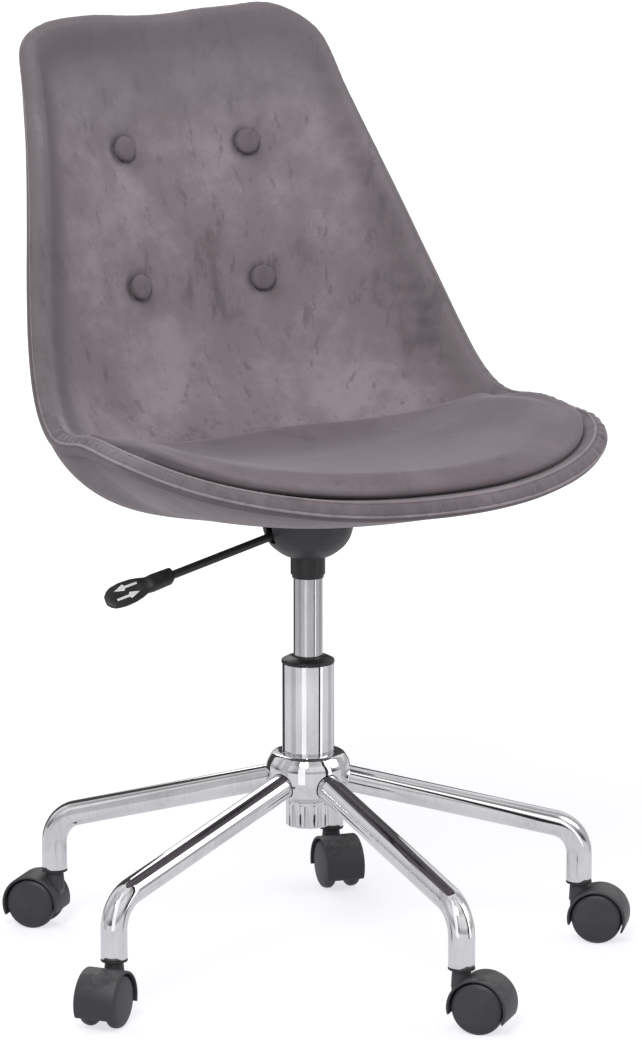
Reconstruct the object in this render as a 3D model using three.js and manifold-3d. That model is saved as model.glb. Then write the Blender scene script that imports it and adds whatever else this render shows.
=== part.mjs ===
// Upholstered swivel seat on a five-arm caster base.
// Millimetres, +Z up, the sitter faces -Y, origin on the floor under the column.
import * as THREE from 'three';
import Module from 'manifold-3d';

const wasm = await Module();
wasm.setup();

// ---------------------------------------------------------------- clearances
const GAP = 0.3;
const LAYER_GAP = 0.6;

// ---------------------------------------------------------------- casters
const WHEEL_RADIUS = 25;
const WHEEL_SIDES = 20;
const WHEEL_INNER = 8.4;
const WHEEL_OUTER = 19.2;
const CASTER_TRAIL = 20;
const CASTER_HEADINGS_DEG = [-51, -43, -102, 131, 217];
const HOOD_HALF_WIDTH = 20;
const HOOD_WALL = 2.5;
const HOOD_CLEARANCE = 1.2;
const HOOD_FRONT_DEG = 194;
const HOOD_REAR_DEG = -26;
const HOOD_WEB_HALF = 7.4;
const NECK_RADIUS = 8.5;
const STEM_OD = 10;
const AXLE_OD = 6;
const SOCKET_FLANGE = 2;
const SOCKET_DEPTH = 26;
const SOCKET_FIT = 0.1;
const FOOT_OVER_HOOD = 6;

// ---------------------------------------------------------------- base frame
// Heights build up from the floor: each piece stands on the one below it.
const ARM_COUNT = 5;
const FOOT_RADIUS = 273.3;
const FRONT_ARM_DEG = -90;
const ARM_OD = 25;
const ARM_WALL = 1.5;
const ARM_SLOPE_DEG = 15.4;
const ARM_BEND_RADIUS = 34;
const ARM_CORNER_RISE = 52.7;
const ARM_START_GAP = 6;

const HUB_LOW_RADIUS = 22.5;
const HUB_WALL = 15.5;
const HUB_UNDER_ARMS = 19.84;
const HUB_HEIGHT = 47;
const HUB_FLOOR_T = 2.7;
const HUB_SHOULDER = 11;
const SKIRT_RADIUS = 21.3;
const SKIRT_WALL = 4;
const SKIRT_LENGTH = 26;
const SKIRT_FLUTES = 10;
const SKIRT_FLUTE_DEPTH = 0.9;

const COLUMN_OD = 50;
const COLUMN_WALL = 1.6;
const COLUMN_LENGTH = 131;
const COLUMN_PLATE_T = 3;
const BUSH_PROUD = 7;
const BUSH_FLANGE_LIP = 1;
const BUSH_LENGTH = 60;

// ---------------------------------------------------------------- gas spring
const CYLINDER_OD = 28;
const CYLINDER_IN_BUSH = 50;
const CYLINDER_LENGTH = 161;
const CYLINDER_TAPER = 1.2;
const ROD_OD = 10;
const ROD_COLLAR_OD = 17;
const ROD_IN_CYLINDER = 40;
const BEARING_T = 5;
const CLIP_T = 2;
const BUTTON_OD = 8;
const BUTTON_TRAVEL = 2.8;
const BUTTON_PROUD = 8;
const BUTTON_LENGTH = 16;

// ---------------------------------------------------------------- mechanism
const MOUNT_OVER_CYLINDER = 21;
const PLATE_RADIUS = 40;
const PLATE_T = 4;
const SLEEVE_OD = 33.4;
const SLEEVE_GRIP = 34.7;
const COVER_HEIGHT = 35;
const COVER_RADIUS = 44;
const COVER_T = 2;
const BOLT_CIRCLE_RADIUS = 29;
const BOLT_OD = 6;
const BOLT_HEAD_OD = 10;
const BOLT_HEAD_T = 4;
const BOLT_LENGTH = 24.8;
const LEVER_ROD_OD = 8;
const LEVER_PIVOT_X = -24;
const LEVER_PIN_OD = 5;
const LEVER_SLOPE_DEG = 13.6;
const LEVER_BEND = 3;
const LEVER_INNER_X = 5;
const HANDLE_START = 150;
const HANDLE_END = 220;
const HANDLE_WIDTH = 22;
const HANDLE_THICKNESS = 9;
const HANDLE_TILT_DEG = 45;

// ---------------------------------------------------------------- seat shell
// Centre line runs from the front edge (negative) to the top edge (positive).
const SEAT_FRONT = -211;
const BACK_TOP = 617;
const SPINE_Y = -36.7;
const SPINE_OVER_MOUNT = 39.7;
const SEAT_PITCH_DEG = -6;
const BEND_START = 24;
const BEND_LENGTH = 305;
const BEND_DEG = 84.4;
const LIP_DEG = 10;
const LIP_LENGTH = 50;
const TOP_LEAN_DEG = -5;
const TOP_LEAN_LENGTH = 300;
const CURL_START = -68;
const CURL_LENGTH = 325;
const SEAT_HALF_WIDTH = 250;
const BACK_HALF_WIDTH = 164;
const TAPER_START = 110;
const TAPER_END = 651;
const FRONT_ROUND = 143;
const FRONT_POWER = 2.04;
const TOP_ROUND = 69;
const TOP_POWER = 3.1;
const SIDE_POWER = 2.56;
const SIDE_RISE = [[SEAT_FRONT, 35], [-101, 49], [60, 77], [200, 105], [380, 66], [BACK_TOP, 4]];
const FAN_CENTRE = 145;

const PAD_MID = 14;
const PAD_RIM = 9;
const SHELL_T = 4.5;
const SHELL_INSET = 0.965;
const SKIN_MID = 34;
const SKIN_RIM = 16.4;

// ---------------------------------------------------------------- seat cushion
const CUSHION_INSET = 14;
const CUSHION_REAR = 158;
const CUSHION_FRONT = SEAT_FRONT + CUSHION_INSET;
const CUSHION_REAR_ROUND = 46;
const CUSHION_T = 21;
const CUSHION_EDGE_T = 8;
const CUSHION_CENTRE = -20;
const CUSHION_CLEAR = 2.5;

const BUTTON_DROPS = [142, 278];
const TUFT_OFFSET_X = 69;
const TUFT_OD = 23;
const TUFT_T = 7;
const TUFT_CLEAR = 0.5;

// ---------------------------------------------------------------- finishes
const finish = (color, roughness, metalness) => ({ color, roughness, metalness });
const CHROME = finish(0xd9dbe0, 0.08, 1.0);
const STEEL = finish(0x9a9da2, 0.28, 1.0);
const ZINC = finish(0x8d8f92, 0.42, 0.9);
const BLACK_PLASTIC = finish(0x35353a, 0.55, 0.0);
const GREY_PLASTIC = finish(0x46464b, 0.5, 0.0);
const HARD_SHELL = finish(0x2b2b2d, 0.6, 0.0);
const VELVET = finish(0x7d7276, 0.92, 0.0);
const VELVET_DARK = finish(0x6a6164, 0.92, 0.0);

// ---------------------------------------------------------------- heights
const rad = THREE.MathUtils.degToRad;
const armSlope = rad(ARM_SLOPE_DEG);
const armRadius = ARM_OD / 2;
const columnRadius = COLUMN_OD / 2;
const flatRadius = WHEEL_RADIUS * Math.cos(Math.PI / WHEEL_SIDES);
const hoodInner = WHEEL_RADIUS + HOOD_CLEARANCE;
const hoodOuter = hoodInner + HOOD_WALL;
const footEndZ = flatRadius + hoodOuter + FOOT_OVER_HOOD;
const armCornerZ = footEndZ + ARM_CORNER_RISE;
const armLineZ = (r) => armCornerZ + (FOOT_RADIUS - r) * Math.tan(armSlope);
const armStartX = columnRadius + ARM_START_GAP;
const hubMaxRadius = columnRadius + HUB_WALL;
const bushFlangeRadius = columnRadius + BUSH_FLANGE_LIP;
const hubBottomZ = armLineZ(armStartX) - HUB_UNDER_ARMS;
const hubTopZ = hubBottomZ + HUB_HEIGHT;
const skirtBottomZ = hubBottomZ - SKIRT_LENGTH;
const columnPlateZ = hubBottomZ + HUB_FLOOR_T + GAP;
const columnTopZ = columnPlateZ + COLUMN_LENGTH;
const bushTopZ = columnTopZ + BUSH_PROUD;
const cylinderBottomZ = bushTopZ - CYLINDER_IN_BUSH;
const cylinderTopZ = cylinderBottomZ + CYLINDER_LENGTH;
const rodTopZ = cylinderBottomZ + ROD_IN_CYLINDER;
const sleeveBottomZ = cylinderTopZ - SLEEVE_GRIP;
const mountZ = cylinderTopZ + MOUNT_OVER_CYLINDER;
const coverBottomZ = mountZ - COVER_HEIGHT;
const spineZ = mountZ + SPINE_OVER_MOUNT;

// ---------------------------------------------------------------- mesh tools
const clamp01 = (t) => Math.min(Math.max(t, 0), 1);
const blend = (t) => clamp01(t) ** 2 * (3 - 2 * clamp01(t));
const mix = (a, b, t) => a + (b - a) * t;

// Closed surface through a list of rings; a ring of one point is a pole.
// From ring flipFrom on, four-sided cells are split along their other diagonal.
function loft(rings, wrap = false, flipFrom = Infinity) {
  const position = [];
  const start = rings.map((ring) => {
    const first = position.length / 3;
    ring.forEach((p) => position.push(p.x, p.y, p.z));
    return first;
  });
  const index = [];
  const pairs = wrap ? rings.length : rings.length - 1;
  for (let k = 0; k < pairs; k += 1) {
    const next = (k + 1) % rings.length;
    stitch(index, start[k], rings[k].length, start[next], rings[next].length, k >= flipFrom);
  }
  return outward(position, index);
}

function stitch(index, a, countA, b, countB, flip) {
  const count = Math.max(countA, countB);
  for (let i = 0; i < count; i += 1) {
    const j = (i + 1) % count;
    if (countA === 1) {
      index.push(a, b + i, b + j);
    } else if (countB === 1) {
      index.push(a + j, a + i, b);
    } else if (flip) {
      index.push(a + j, a + i, b + j);
      index.push(a + i, b + i, b + j);
    } else {
      index.push(a + j, a + i, b + i);
      index.push(a + j, b + i, b + j);
    }
  }
}

// Geometry whose faces point out of the solid.
function outward(position, index) {
  let volume = 0;
  const a = new THREE.Vector3();
  const b = new THREE.Vector3();
  const c = new THREE.Vector3();
  for (let i = 0; i < index.length; i += 3) {
    a.fromArray(position, index[i] * 3);
    b.fromArray(position, index[i + 1] * 3);
    c.fromArray(position, index[i + 2] * 3);
    volume += a.dot(b.cross(c));
  }
  const ordered = volume < 0 ? index.reverse() : index;
  const geometry = new THREE.BufferGeometry();
  geometry.setAttribute('position', new THREE.Float32BufferAttribute(position, 3));
  geometry.setIndex(ordered);
  return geometry;
}

function circle(radius, z, sides, phase = 0) {
  if (radius < 1e-6) {
    return [new THREE.Vector3(0, 0, z)];
  }
  return Array.from({ length: sides }, (_, i) => {
    const angle = phase + (2 * Math.PI * i) / sides;
    return new THREE.Vector3(radius * Math.cos(angle), radius * Math.sin(angle), z);
  });
}

// Solid of revolution about Z from [radius, z] pairs.
function revolve(profile, sides, phase = 0) {
  const rings = profile.map(([radius, z]) => circle(radius, z, sides, phase));
  return loft(rings, profile[0][0] > 1e-6);
}

// Cylinder lying along X between two x positions, at (y, z).
function crossPin(radius, fromX, toX, y, z, sides) {
  const geometry = revolve([[0, fromX], [radius, fromX], [radius, toX], [0, toX]], sides, Math.PI / sides);
  geometry.rotateY(Math.PI / 2);
  geometry.translate(0, y, z);
  return geometry;
}

// Prism from an outline in the Y-Z plane, between two x positions.
function prismX(outline, fromX, toX) {
  const shape = new THREE.Shape(outline.map(([y, z]) => new THREE.Vector2(y, z)));
  const raw = new THREE.ExtrudeGeometry(shape, { depth: toX - fromX, bevelEnabled: false });
  raw.rotateZ(Math.PI / 2);
  raw.rotateY(Math.PI / 2);
  raw.translate(fromX, 0, 0);
  return welded(raw);
}

function welded(raw) {
  const source = raw.getAttribute('position');
  const seen = new Map();
  const position = [];
  const index = [];
  for (let i = 0; i < source.count; i += 1) {
    const p = [source.getX(i), source.getY(i), source.getZ(i)];
    const key = p.map((value) => Math.round(value * 1e4)).join(',');
    if (!seen.has(key)) {
      seen.set(key, position.length / 3);
      position.push(...p);
    }
    index.push(seen.get(key));
  }
  return outward(position, index);
}

function toSolid(geometry) {
  const mesh = new wasm.Mesh({
    numProp: 3,
    vertProperties: new Float32Array(geometry.getAttribute('position').array),
    triVerts: new Uint32Array(geometry.getIndex().array),
  });
  return new wasm.Manifold(mesh);
}

function toGeometry(solid) {
  const mesh = solid.getMesh();
  return outward(Array.from(mesh.vertProperties), Array.from(mesh.triVerts));
}

const united = (...parts) => toGeometry(parts.map(toSolid).reduce((a, b) => a.add(b)));
const cutBy = (body, ...tools) => {
  const cut = tools.map(toSolid).reduce((a, b) => a.subtract(b), toSolid(body));
  return toGeometry(cut);
};

const part = new THREE.Group();

function place(name, geometry, look) {
  geometry.computeVertexNormals();
  const mesh = new THREE.Mesh(geometry, new THREE.MeshStandardMaterial(look));
  mesh.name = name;
  part.add(mesh);
}

// ---------------------------------------------------------------- base frame
const armAngle = (k) => rad(FRONT_ARM_DEG + (360 / ARM_COUNT) * k);
const ARM_SIDES = 12;

// Rings of one arm, in the plane of Y = 0, running out along X.
function armRings(radius, stations) {
  return stations.map(([x, z, tilt]) => circle(radius, 0, ARM_SIDES, Math.PI / ARM_SIDES).map((p) => {
    const turned = new THREE.Vector3(p.x, p.y, 0).applyAxisAngle(new THREE.Vector3(0, 1, 0), tilt);
    return turned.add(new THREE.Vector3(x, 0, z));
  }));
}

function armStations(startX) {
  const bend = Math.PI / 2 - armSlope;
  const reach = ARM_BEND_RADIUS * Math.tan(bend / 2);
  const bendX = FOOT_RADIUS - ARM_BEND_RADIUS;
  const bendZ = armCornerZ - reach;
  const stations = [[startX, armLineZ(startX), Math.PI / 2 + armSlope]];
  const steps = 5;
  for (let i = 0; i <= steps; i += 1) {
    const around = mix(bend, 0, i / steps);
    const x = bendX + ARM_BEND_RADIUS * Math.cos(around);
    const z = bendZ + ARM_BEND_RADIUS * Math.sin(around);
    stations.push([x, z, Math.PI - around]);
  }
  stations.push([FOOT_RADIUS, footEndZ, Math.PI]);
  return stations;
}

function buildArms() {
  const stations = armStations(armStartX);
  const outside = armRings(armRadius, stations);
  const inside = armRings(armRadius - ARM_WALL, stations).reverse();
  for (let k = 0; k < ARM_COUNT; k += 1) {
    const tube = loft([...outside, ...inside], true);
    tube.rotateZ(armAngle(k));
    place(`arm_${k + 1}`, tube, CHROME);
  }
}

function buildHub() {
  const bore = columnRadius + GAP;
  const rodRoom = ROD_OD / 2 + 7;
  const floorTop = hubBottomZ + HUB_FLOOR_T;
  const profile = [
    [rodRoom, hubBottomZ],
    [HUB_LOW_RADIUS, hubBottomZ],
    [mix(HUB_LOW_RADIUS, hubMaxRadius, 0.55), hubBottomZ + 6],
    [hubMaxRadius - 1.5, hubBottomZ + 13],
    [hubMaxRadius, hubBottomZ + 21],
    [hubMaxRadius, hubTopZ - HUB_SHOULDER],
    [hubMaxRadius - 2.5, hubTopZ - HUB_SHOULDER / 2],
    [hubMaxRadius - 7, hubTopZ - 1.4],
    [columnRadius + 3.2, hubTopZ],
    [bore, hubTopZ],
    [bore, floorTop],
    [rodRoom, floorTop],
  ];
  const startX = armStartX - GAP;
  const endX = hubMaxRadius + 8;
  const ends = [startX, endX].map((x) => [x, armLineZ(x), Math.PI / 2 + armSlope]);
  const sockets = [];
  for (let k = 0; k < ARM_COUNT; k += 1) {
    const [inner, outer] = armRings(armRadius + GAP, ends);
    const socket = loft([[centreOf(inner)], inner, outer, [centreOf(outer)]]);
    socket.rotateZ(armAngle(k));
    sockets.push(socket);
  }
  place('hub_body', cutBy(revolve(profile, 30), ...sockets), CHROME);
}

function centreOf(ring) {
  const sum = ring.reduce((total, p) => total.add(p), new THREE.Vector3());
  return sum.divideScalar(ring.length);
}

function buildSkirt() {
  const perFlute = 4;
  const sides = SKIRT_FLUTES * perFlute;
  const top = hubBottomZ - GAP;
  const fluted = (inset, z) => circle(1, z, sides).map((p, i) => {
    const radius = i % perFlute === 0 ? SKIRT_RADIUS - SKIRT_FLUTE_DEPTH : SKIRT_RADIUS;
    return new THREE.Vector3(p.x * (radius - inset), p.y * (radius - inset), z);
  });
  const bore = SKIRT_RADIUS - SKIRT_WALL;
  const rings = [
    circle(bore, skirtBottomZ, sides),
    fluted(0.5, skirtBottomZ),
    fluted(0, skirtBottomZ + 1.5),
    fluted(0, top),
    circle(bore, top, sides),
  ];
  place('hub_skirt', loft(rings, true), CHROME);
}

function buildColumn() {
  const inner = columnRadius - COLUMN_WALL;
  const rodHole = ROD_OD / 2 + GAP;
  const plateTop = columnPlateZ + COLUMN_PLATE_T;
  const tube = [
    [rodHole, columnPlateZ],
    [columnRadius, columnPlateZ],
    [columnRadius, columnTopZ],
    [inner, columnTopZ],
    [inner, plateTop],
    [rodHole, plateTop],
  ];
  place('column_tube', revolve(tube, 28), CHROME);
  const guide = CYLINDER_OD / 2 + GAP;
  const bottom = bushTopZ - BUSH_LENGTH;
  const bush = [
    [guide, bottom],
    [inner - GAP, bottom],
    [inner - GAP, columnTopZ + GAP],
    [bushFlangeRadius, columnTopZ + GAP],
    [bushFlangeRadius, mix(columnTopZ, bushTopZ, 0.45)],
    [mix(guide, bushFlangeRadius, 0.3), bushTopZ],
    [guide, bushTopZ],
  ];
  place('guide_bush', revolve(bush, 28), BLACK_PLASTIC);
}

// ---------------------------------------------------------------- gas spring
function buildPiston() {
  const plateTop = columnPlateZ + COLUMN_PLATE_T;
  const shoulder = plateTop + BEARING_T + 2 * GAP;
  const clipTop = columnPlateZ - GAP;
  const r = ROD_OD / 2;
  const neck = r - 1.2;
  const rod = [
    [0, clipTop - CLIP_T - 4],
    [r, clipTop - CLIP_T - 4],
    [r, clipTop - CLIP_T - GAP],
    [neck, clipTop - CLIP_T - GAP],
    [neck, clipTop + GAP / 2],
    [r, clipTop + GAP / 2],
    [r, shoulder],
    [ROD_COLLAR_OD / 2, shoulder],
    [ROD_COLLAR_OD / 2, shoulder + 4],
    [r, shoulder + 4],
    [r, rodTopZ],
    [0, rodTopZ],
  ];
  place('piston_rod', revolve(rod, 16), STEEL);
  const bearing = [
    [r + GAP, plateTop + GAP],
    [r + 6, plateTop + GAP],
    [r + 6, plateTop + GAP + BEARING_T],
    [r + GAP, plateTop + GAP + BEARING_T],
  ];
  place('thrust_bearing', revolve(bearing, 16), STEEL);
  const clip = [
    [neck + GAP, clipTop - CLIP_T],
    [r + 4.5, clipTop - CLIP_T],
    [r + 4.5, clipTop - GAP / 2],
    [neck + GAP, clipTop - GAP / 2],
  ];
  place('retaining_clip', revolve(clip, 16), ZINC);
}

function buildCylinder() {
  const r = CYLINDER_OD / 2;
  const bore = ROD_OD / 2 + GAP;
  const well = BUTTON_OD / 2 + GAP;
  const wellFloor = cylinderTopZ + BUTTON_PROUD - BUTTON_LENGTH - BUTTON_TRAVEL - 1;
  const boreTop = wellFloor - 8;
  const outside = [
    [0, boreTop],
    [bore, boreTop],
    [bore, cylinderBottomZ],
    [r - 1, cylinderBottomZ],
    [r, cylinderBottomZ + 1],
    [r, sleeveBottomZ],
    [r - CYLINDER_TAPER, cylinderTopZ],
    [well, cylinderTopZ],
    [well, wellFloor],
    [0, wellFloor],
  ];
  place('lift_cylinder', revolve(outside, 24), STEEL);
  const top = cylinderTopZ + BUTTON_PROUD;
  const radius = BUTTON_OD / 2;
  const pin = [
    [0, top - BUTTON_LENGTH],
    [radius, top - BUTTON_LENGTH],
    [radius, top - 1],
    [radius - 1, top],
    [0, top],
  ];
  place('release_button', revolve(pin, 16), ZINC);
}

// ---------------------------------------------------------------- mechanism
const plateTopZ = mountZ - GAP;
const plateBottomZ = plateTopZ - PLATE_T;
const leverZ = plateBottomZ - LEVER_ROD_OD / 2 - 0.4;
const boltSpots = [45, 135, 225, 315].map((deg) => [
  BOLT_CIRCLE_RADIUS * Math.cos(rad(deg)),
  BOLT_CIRCLE_RADIUS * Math.sin(rad(deg)),
]);

function upright(radius, fromZ, toZ, x, y, sides) {
  const geometry = revolve([[0, fromZ], [radius, fromZ], [radius, toZ], [0, toZ]], sides);
  geometry.translate(x, y, 0);
  return geometry;
}

function lug(side) {
  const inner = LEVER_ROD_OD / 2 + 0.8;
  const thickness = 3;
  const half = 6;
  const outline = [[-half, leverZ - 5.5], [half, leverZ - 5.5], [half, plateTopZ - 1], [-half, plateTopZ - 1]];
  const geometry = prismX(outline, inner, inner + thickness);
  geometry.rotateZ(side * Math.PI / 2);
  geometry.translate(LEVER_PIVOT_X, 0, 0);
  return geometry;
}

function buildPlate() {
  const r = CYLINDER_OD / 2 + GAP;
  const topBore = r - CYLINDER_TAPER;
  const sleeve = SLEEVE_OD / 2;
  const profile = [
    [r, sleeveBottomZ],
    [sleeve, sleeveBottomZ],
    [sleeve, leverZ - LEVER_ROD_OD / 2 - 2],
    [topBore, leverZ - LEVER_ROD_OD / 2 - 2],
    [topBore, cylinderTopZ],
  ];
  const disc = upright(PLATE_RADIUS, plateBottomZ, plateTopZ, 0, 0, 24);
  const legs = [-1, 1].map((side) => upright(3.5, coverBottomZ + 10, plateTopZ - 1, 8, side * 13.5, 10));
  const holes = boltSpots.map(([x, y]) => upright(BOLT_OD / 2 + GAP, plateBottomZ - 1, plateTopZ + 1, x, y, 10));
  const pinHole = crossPin(LEVER_PIN_OD / 2 + GAP, -12, 12, 0, 0, 16);
  pinHole.rotateZ(Math.PI / 2);
  pinHole.translate(LEVER_PIVOT_X, 0, leverZ);
  const clearBore = upright(topBore, sleeveBottomZ + 30, plateBottomZ - 0.01, 0, 0, 24);
  const body = united(revolve(profile, 24), disc, ...legs, lug(-1), lug(1));
  place('seat_plate', cutBy(body, pinHole, clearBore, ...holes), BLACK_PLASTIC);
}

function buildBolts() {
  boltSpots.forEach(([x, y], i) => {
    const headBottom = plateBottomZ - GAP - BOLT_HEAD_T;
    const r = BOLT_OD / 2;
    const profile = [
      [0, headBottom],
      [BOLT_HEAD_OD / 2, headBottom],
      [BOLT_HEAD_OD / 2, headBottom + BOLT_HEAD_T],
      [r, headBottom + BOLT_HEAD_T],
      [r, headBottom + BOLT_HEAD_T + BOLT_LENGTH],
      [0, headBottom + BOLT_HEAD_T + BOLT_LENGTH],
    ];
    const bolt = revolve(profile, 12);
    bolt.translate(x, y, 0);
    place(`plate_bolt_${i + 1}`, bolt, ZINC);
  });
}

function buildCover() {
  const sleeve = SLEEVE_OD / 2 + GAP;
  const top = mountZ - GAP;
  const height = top - coverBottomZ;
  const outer = [[0.42, 0], [0.62, 0.13], [0.8, 0.31], [0.92, 0.52], [0.98, 0.75], [1, 1]];
  const wall = outer.map(([r, h]) => [COVER_RADIUS * r, coverBottomZ + height * h]);
  const lining = wall.slice(1).reverse().map(([r, z]) => [r - COVER_T, Math.min(z + COVER_T * 0.7, top)]);
  const floor = coverBottomZ + COVER_T;
  const profile = [[sleeve, coverBottomZ], ...wall, ...lining, [sleeve, floor]];
  const slot = prismX([[-6, leverZ - 10], [6, leverZ - 10], [6, top + 2], [-6, top + 2]], -COVER_RADIUS - 5, -20);
  place('mechanism_cover', cutBy(revolve(profile, 24), slot), GREY_PLASTIC);
}

// ---------------------------------------------------------------- lever
const leverFall = Math.tan(rad(LEVER_SLOPE_DEG));
const leverLineZ = (x) => leverZ - Math.max(0, LEVER_PIVOT_X - LEVER_BEND - x) * leverFall;

function buildLever() {
  const r = LEVER_ROD_OD / 2;
  const bendX = LEVER_PIVOT_X - LEVER_BEND;
  const endX = -(HANDLE_START + 40);
  const ring = (x, radius) => circle(radius, 0, 12).map((p) => new THREE.Vector3(x, p.y, leverLineZ(x) + p.x));
  const stations = [[LEVER_INNER_X, r], [bendX, r], [bendX - 6, r], [endX, r]];
  const rings = stations.map(([x, radius]) => ring(x, radius));
  const rod = loft([[centreOf(rings[0])], ...rings, [centreOf(rings.at(-1))]]);
  const lugOutside = r + 0.8 + 3;
  const pin = crossPin(LEVER_PIN_OD / 2, -lugOutside - 1, lugOutside + 1, 0, 0, 16);
  pin.rotateZ(Math.PI / 2);
  pin.translate(LEVER_PIVOT_X, 0, leverZ);
  place('lever_rod', united(rod, pin), BLACK_PLASTIC);
}

// Paddle grip: oval socket round the rod, swelling to a rounded flat tip.
function buildHandle() {
  const stations = [[0, 0.5, 1.2], [0.05, 0.62, 1.45], [0.3, 0.66, 1.4], [0.45, 0.78, 1.0], [0.62, 0.96, 0.8],
    [0.8, 1, 0.7], [0.92, 0.82, 0.62], [0.98, 0.45, 0.5]];
  const length = HANDLE_END - HANDLE_START;
  const rings = stations.map(([along, tall, thick]) => {
    const x = -(HANDLE_START + along * length);
    const turn = rad(HANDLE_TILT_DEG);
    return circle(1, 0, 16).map((p) => {
      const wide = (p.x * tall * HANDLE_WIDTH) / 2;
      const deep = (p.y * thick * HANDLE_THICKNESS) / 2;
      const y = wide * Math.cos(turn) - deep * Math.sin(turn);
      const z = wide * Math.sin(turn) + deep * Math.cos(turn);
      return new THREE.Vector3(x, y, leverLineZ(x) + z);
    });
  });
  const body = loft([[centreOf(rings[0])], ...rings, [centreOf(rings.at(-1))]]);
  const endX = -(HANDLE_START + 40) - GAP;
  const r = LEVER_ROD_OD / 2 + GAP;
  const hole = [10 - HANDLE_START, endX].map((x) => circle(r, 0, 12).map(
    (p) => new THREE.Vector3(x, p.y, leverLineZ(x) + p.x),
  ));
  const socket = loft([[centreOf(hole[0])], ...hole, [centreOf(hole[1])]]);
  place('lever_handle', cutBy(body, socket), BLACK_PLASTIC);
}

// ---------------------------------------------------------------- casters
function arc(radius, fromDeg, toDeg, steps) {
  return Array.from({ length: steps + 1 }, (_, i) => {
    const angle = rad(mix(fromDeg, toDeg, i / steps));
    return [CASTER_TRAIL + radius * Math.cos(angle), flatRadius + radius * Math.sin(angle)];
  });
}

function hoodGeometry() {
  const steps = 12;
  const band = [
    ...arc(hoodOuter, HOOD_REAR_DEG, HOOD_FRONT_DEG, steps),
    ...arc(hoodInner, HOOD_FRONT_DEG, HOOD_REAR_DEG, steps),
  ];
  const neckFoot = footEndZ - 12;
  const web = [
    [1 - NECK_RADIUS, neckFoot + 1],
    [1 - NECK_RADIUS, flatRadius + 2],
    [-2, flatRadius - 8],
    [CASTER_TRAIL, flatRadius - 8],
    ...arc(hoodInner + HOOD_WALL / 2, 0, 130, 6),
  ];
  const neckTop = footEndZ - SOCKET_FLANGE - 2 * GAP;
  const body = united(
    prismX(band, -HOOD_HALF_WIDTH, HOOD_HALF_WIDTH),
    prismX(web, -HOOD_WEB_HALF, HOOD_WEB_HALF),
    upright(NECK_RADIUS, neckFoot, neckTop, 0, 0, 14),
  );
  const stemHole = upright(STEM_OD / 2 + GAP, flatRadius - 2, footEndZ, 0, 0, 12);
  const axleHole = crossPin(AXLE_OD / 2 + GAP, -HOOD_WEB_HALF - 1, HOOD_WEB_HALF + 1, CASTER_TRAIL, flatRadius, 12);
  return cutBy(body, stemHole, axleHole);
}

// Wheel about Z with its face on the +Z side.
function wheelGeometry() {
  const bore = AXLE_OD / 2 + 0.35;
  const boreEnd = WHEEL_OUTER - 1.6;
  const profile = [
    [0, WHEEL_OUTER],
    [WHEEL_RADIUS * 0.86, WHEEL_OUTER - 0.9],
    [WHEEL_RADIUS, WHEEL_OUTER - 3.8],
    [WHEEL_RADIUS, WHEEL_INNER + 1.5],
    [WHEEL_RADIUS - 1.5, WHEEL_INNER],
    [bore, WHEEL_INNER],
    [bore, boreEnd],
    [0, boreEnd],
  ];
  return revolve(profile, WHEEL_SIDES, Math.PI / WHEEL_SIDES);
}

function buildCasters() {
  const hood = hoodGeometry();
  for (let k = 0; k < ARM_COUNT; k += 1) {
    const x = FOOT_RADIUS * Math.cos(armAngle(k));
    const y = FOOT_RADIUS * Math.sin(armAngle(k));
    const turn = rad(CASTER_HEADINGS_DEG[k] - 90);
    const settle = (geometry) => {
      geometry.rotateZ(turn);
      geometry.translate(x, y, 0);
      return geometry;
    };
    place(`caster_hood_${k + 1}`, settle(hood.clone()), BLACK_PLASTIC);
    const axleEnd = WHEEL_OUTER - 2.6;
    const axle = crossPin(AXLE_OD / 2, -axleEnd, axleEnd, CASTER_TRAIL, flatRadius, 12);
    place(`caster_axle_${k + 1}`, settle(axle), ZINC);
    [['left', -1], ['right', 1]].forEach(([side, sign]) => {
      const wheel = wheelGeometry();
      wheel.rotateY(sign * Math.PI / 2);
      wheel.translate(0, CASTER_TRAIL, flatRadius);
      place(`wheel_${side}_${k + 1}`, settle(wheel), GREY_PLASTIC);
    });
    buildStem(k, x, y);
  }
}

function buildStem(k, x, y) {
  const r = STEM_OD / 2;
  const low = flatRadius - 1.4;
  const flange = footEndZ - GAP;
  const socketTop = footEndZ + SOCKET_DEPTH;
  const stem = revolve([[0, low], [r, low], [r, socketTop + 2], [0, socketTop + 2]], 12);
  stem.translate(x, y, 0);
  place(`caster_stem_${k + 1}`, stem, STEEL);
  const inside = (armRadius - ARM_WALL) * Math.cos(Math.PI / ARM_SIDES) - SOCKET_FIT;
  const socket = revolve([
    [r + GAP, flange - SOCKET_FLANGE],
    [armRadius, flange - SOCKET_FLANGE],
    [armRadius, flange],
    [inside, flange],
    [inside, socketTop],
    [r + GAP, socketTop],
  ], 14, Math.PI / 14);
  socket.translate(x, y, 0);
  place(`caster_socket_${k + 1}`, socket, BLACK_PLASTIC);
}

// ---------------------------------------------------------------- seat shell
function spineSlope(a) {
  const bend = BEND_DEG * blend((a - BEND_START) / BEND_LENGTH);
  const lip = LIP_DEG * (1 - blend((a - SEAT_FRONT) / LIP_LENGTH));
  const lean = TOP_LEAN_DEG * blend((a - (BACK_TOP - TOP_LEAN_LENGTH)) / TOP_LEAN_LENGTH);
  return rad(SEAT_PITCH_DEG + bend + lip + lean);
}

const curlSlope = (a) => rad(SEAT_PITCH_DEG + BEND_DEG * blend((a - CURL_START) / CURL_LENGTH));

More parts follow.
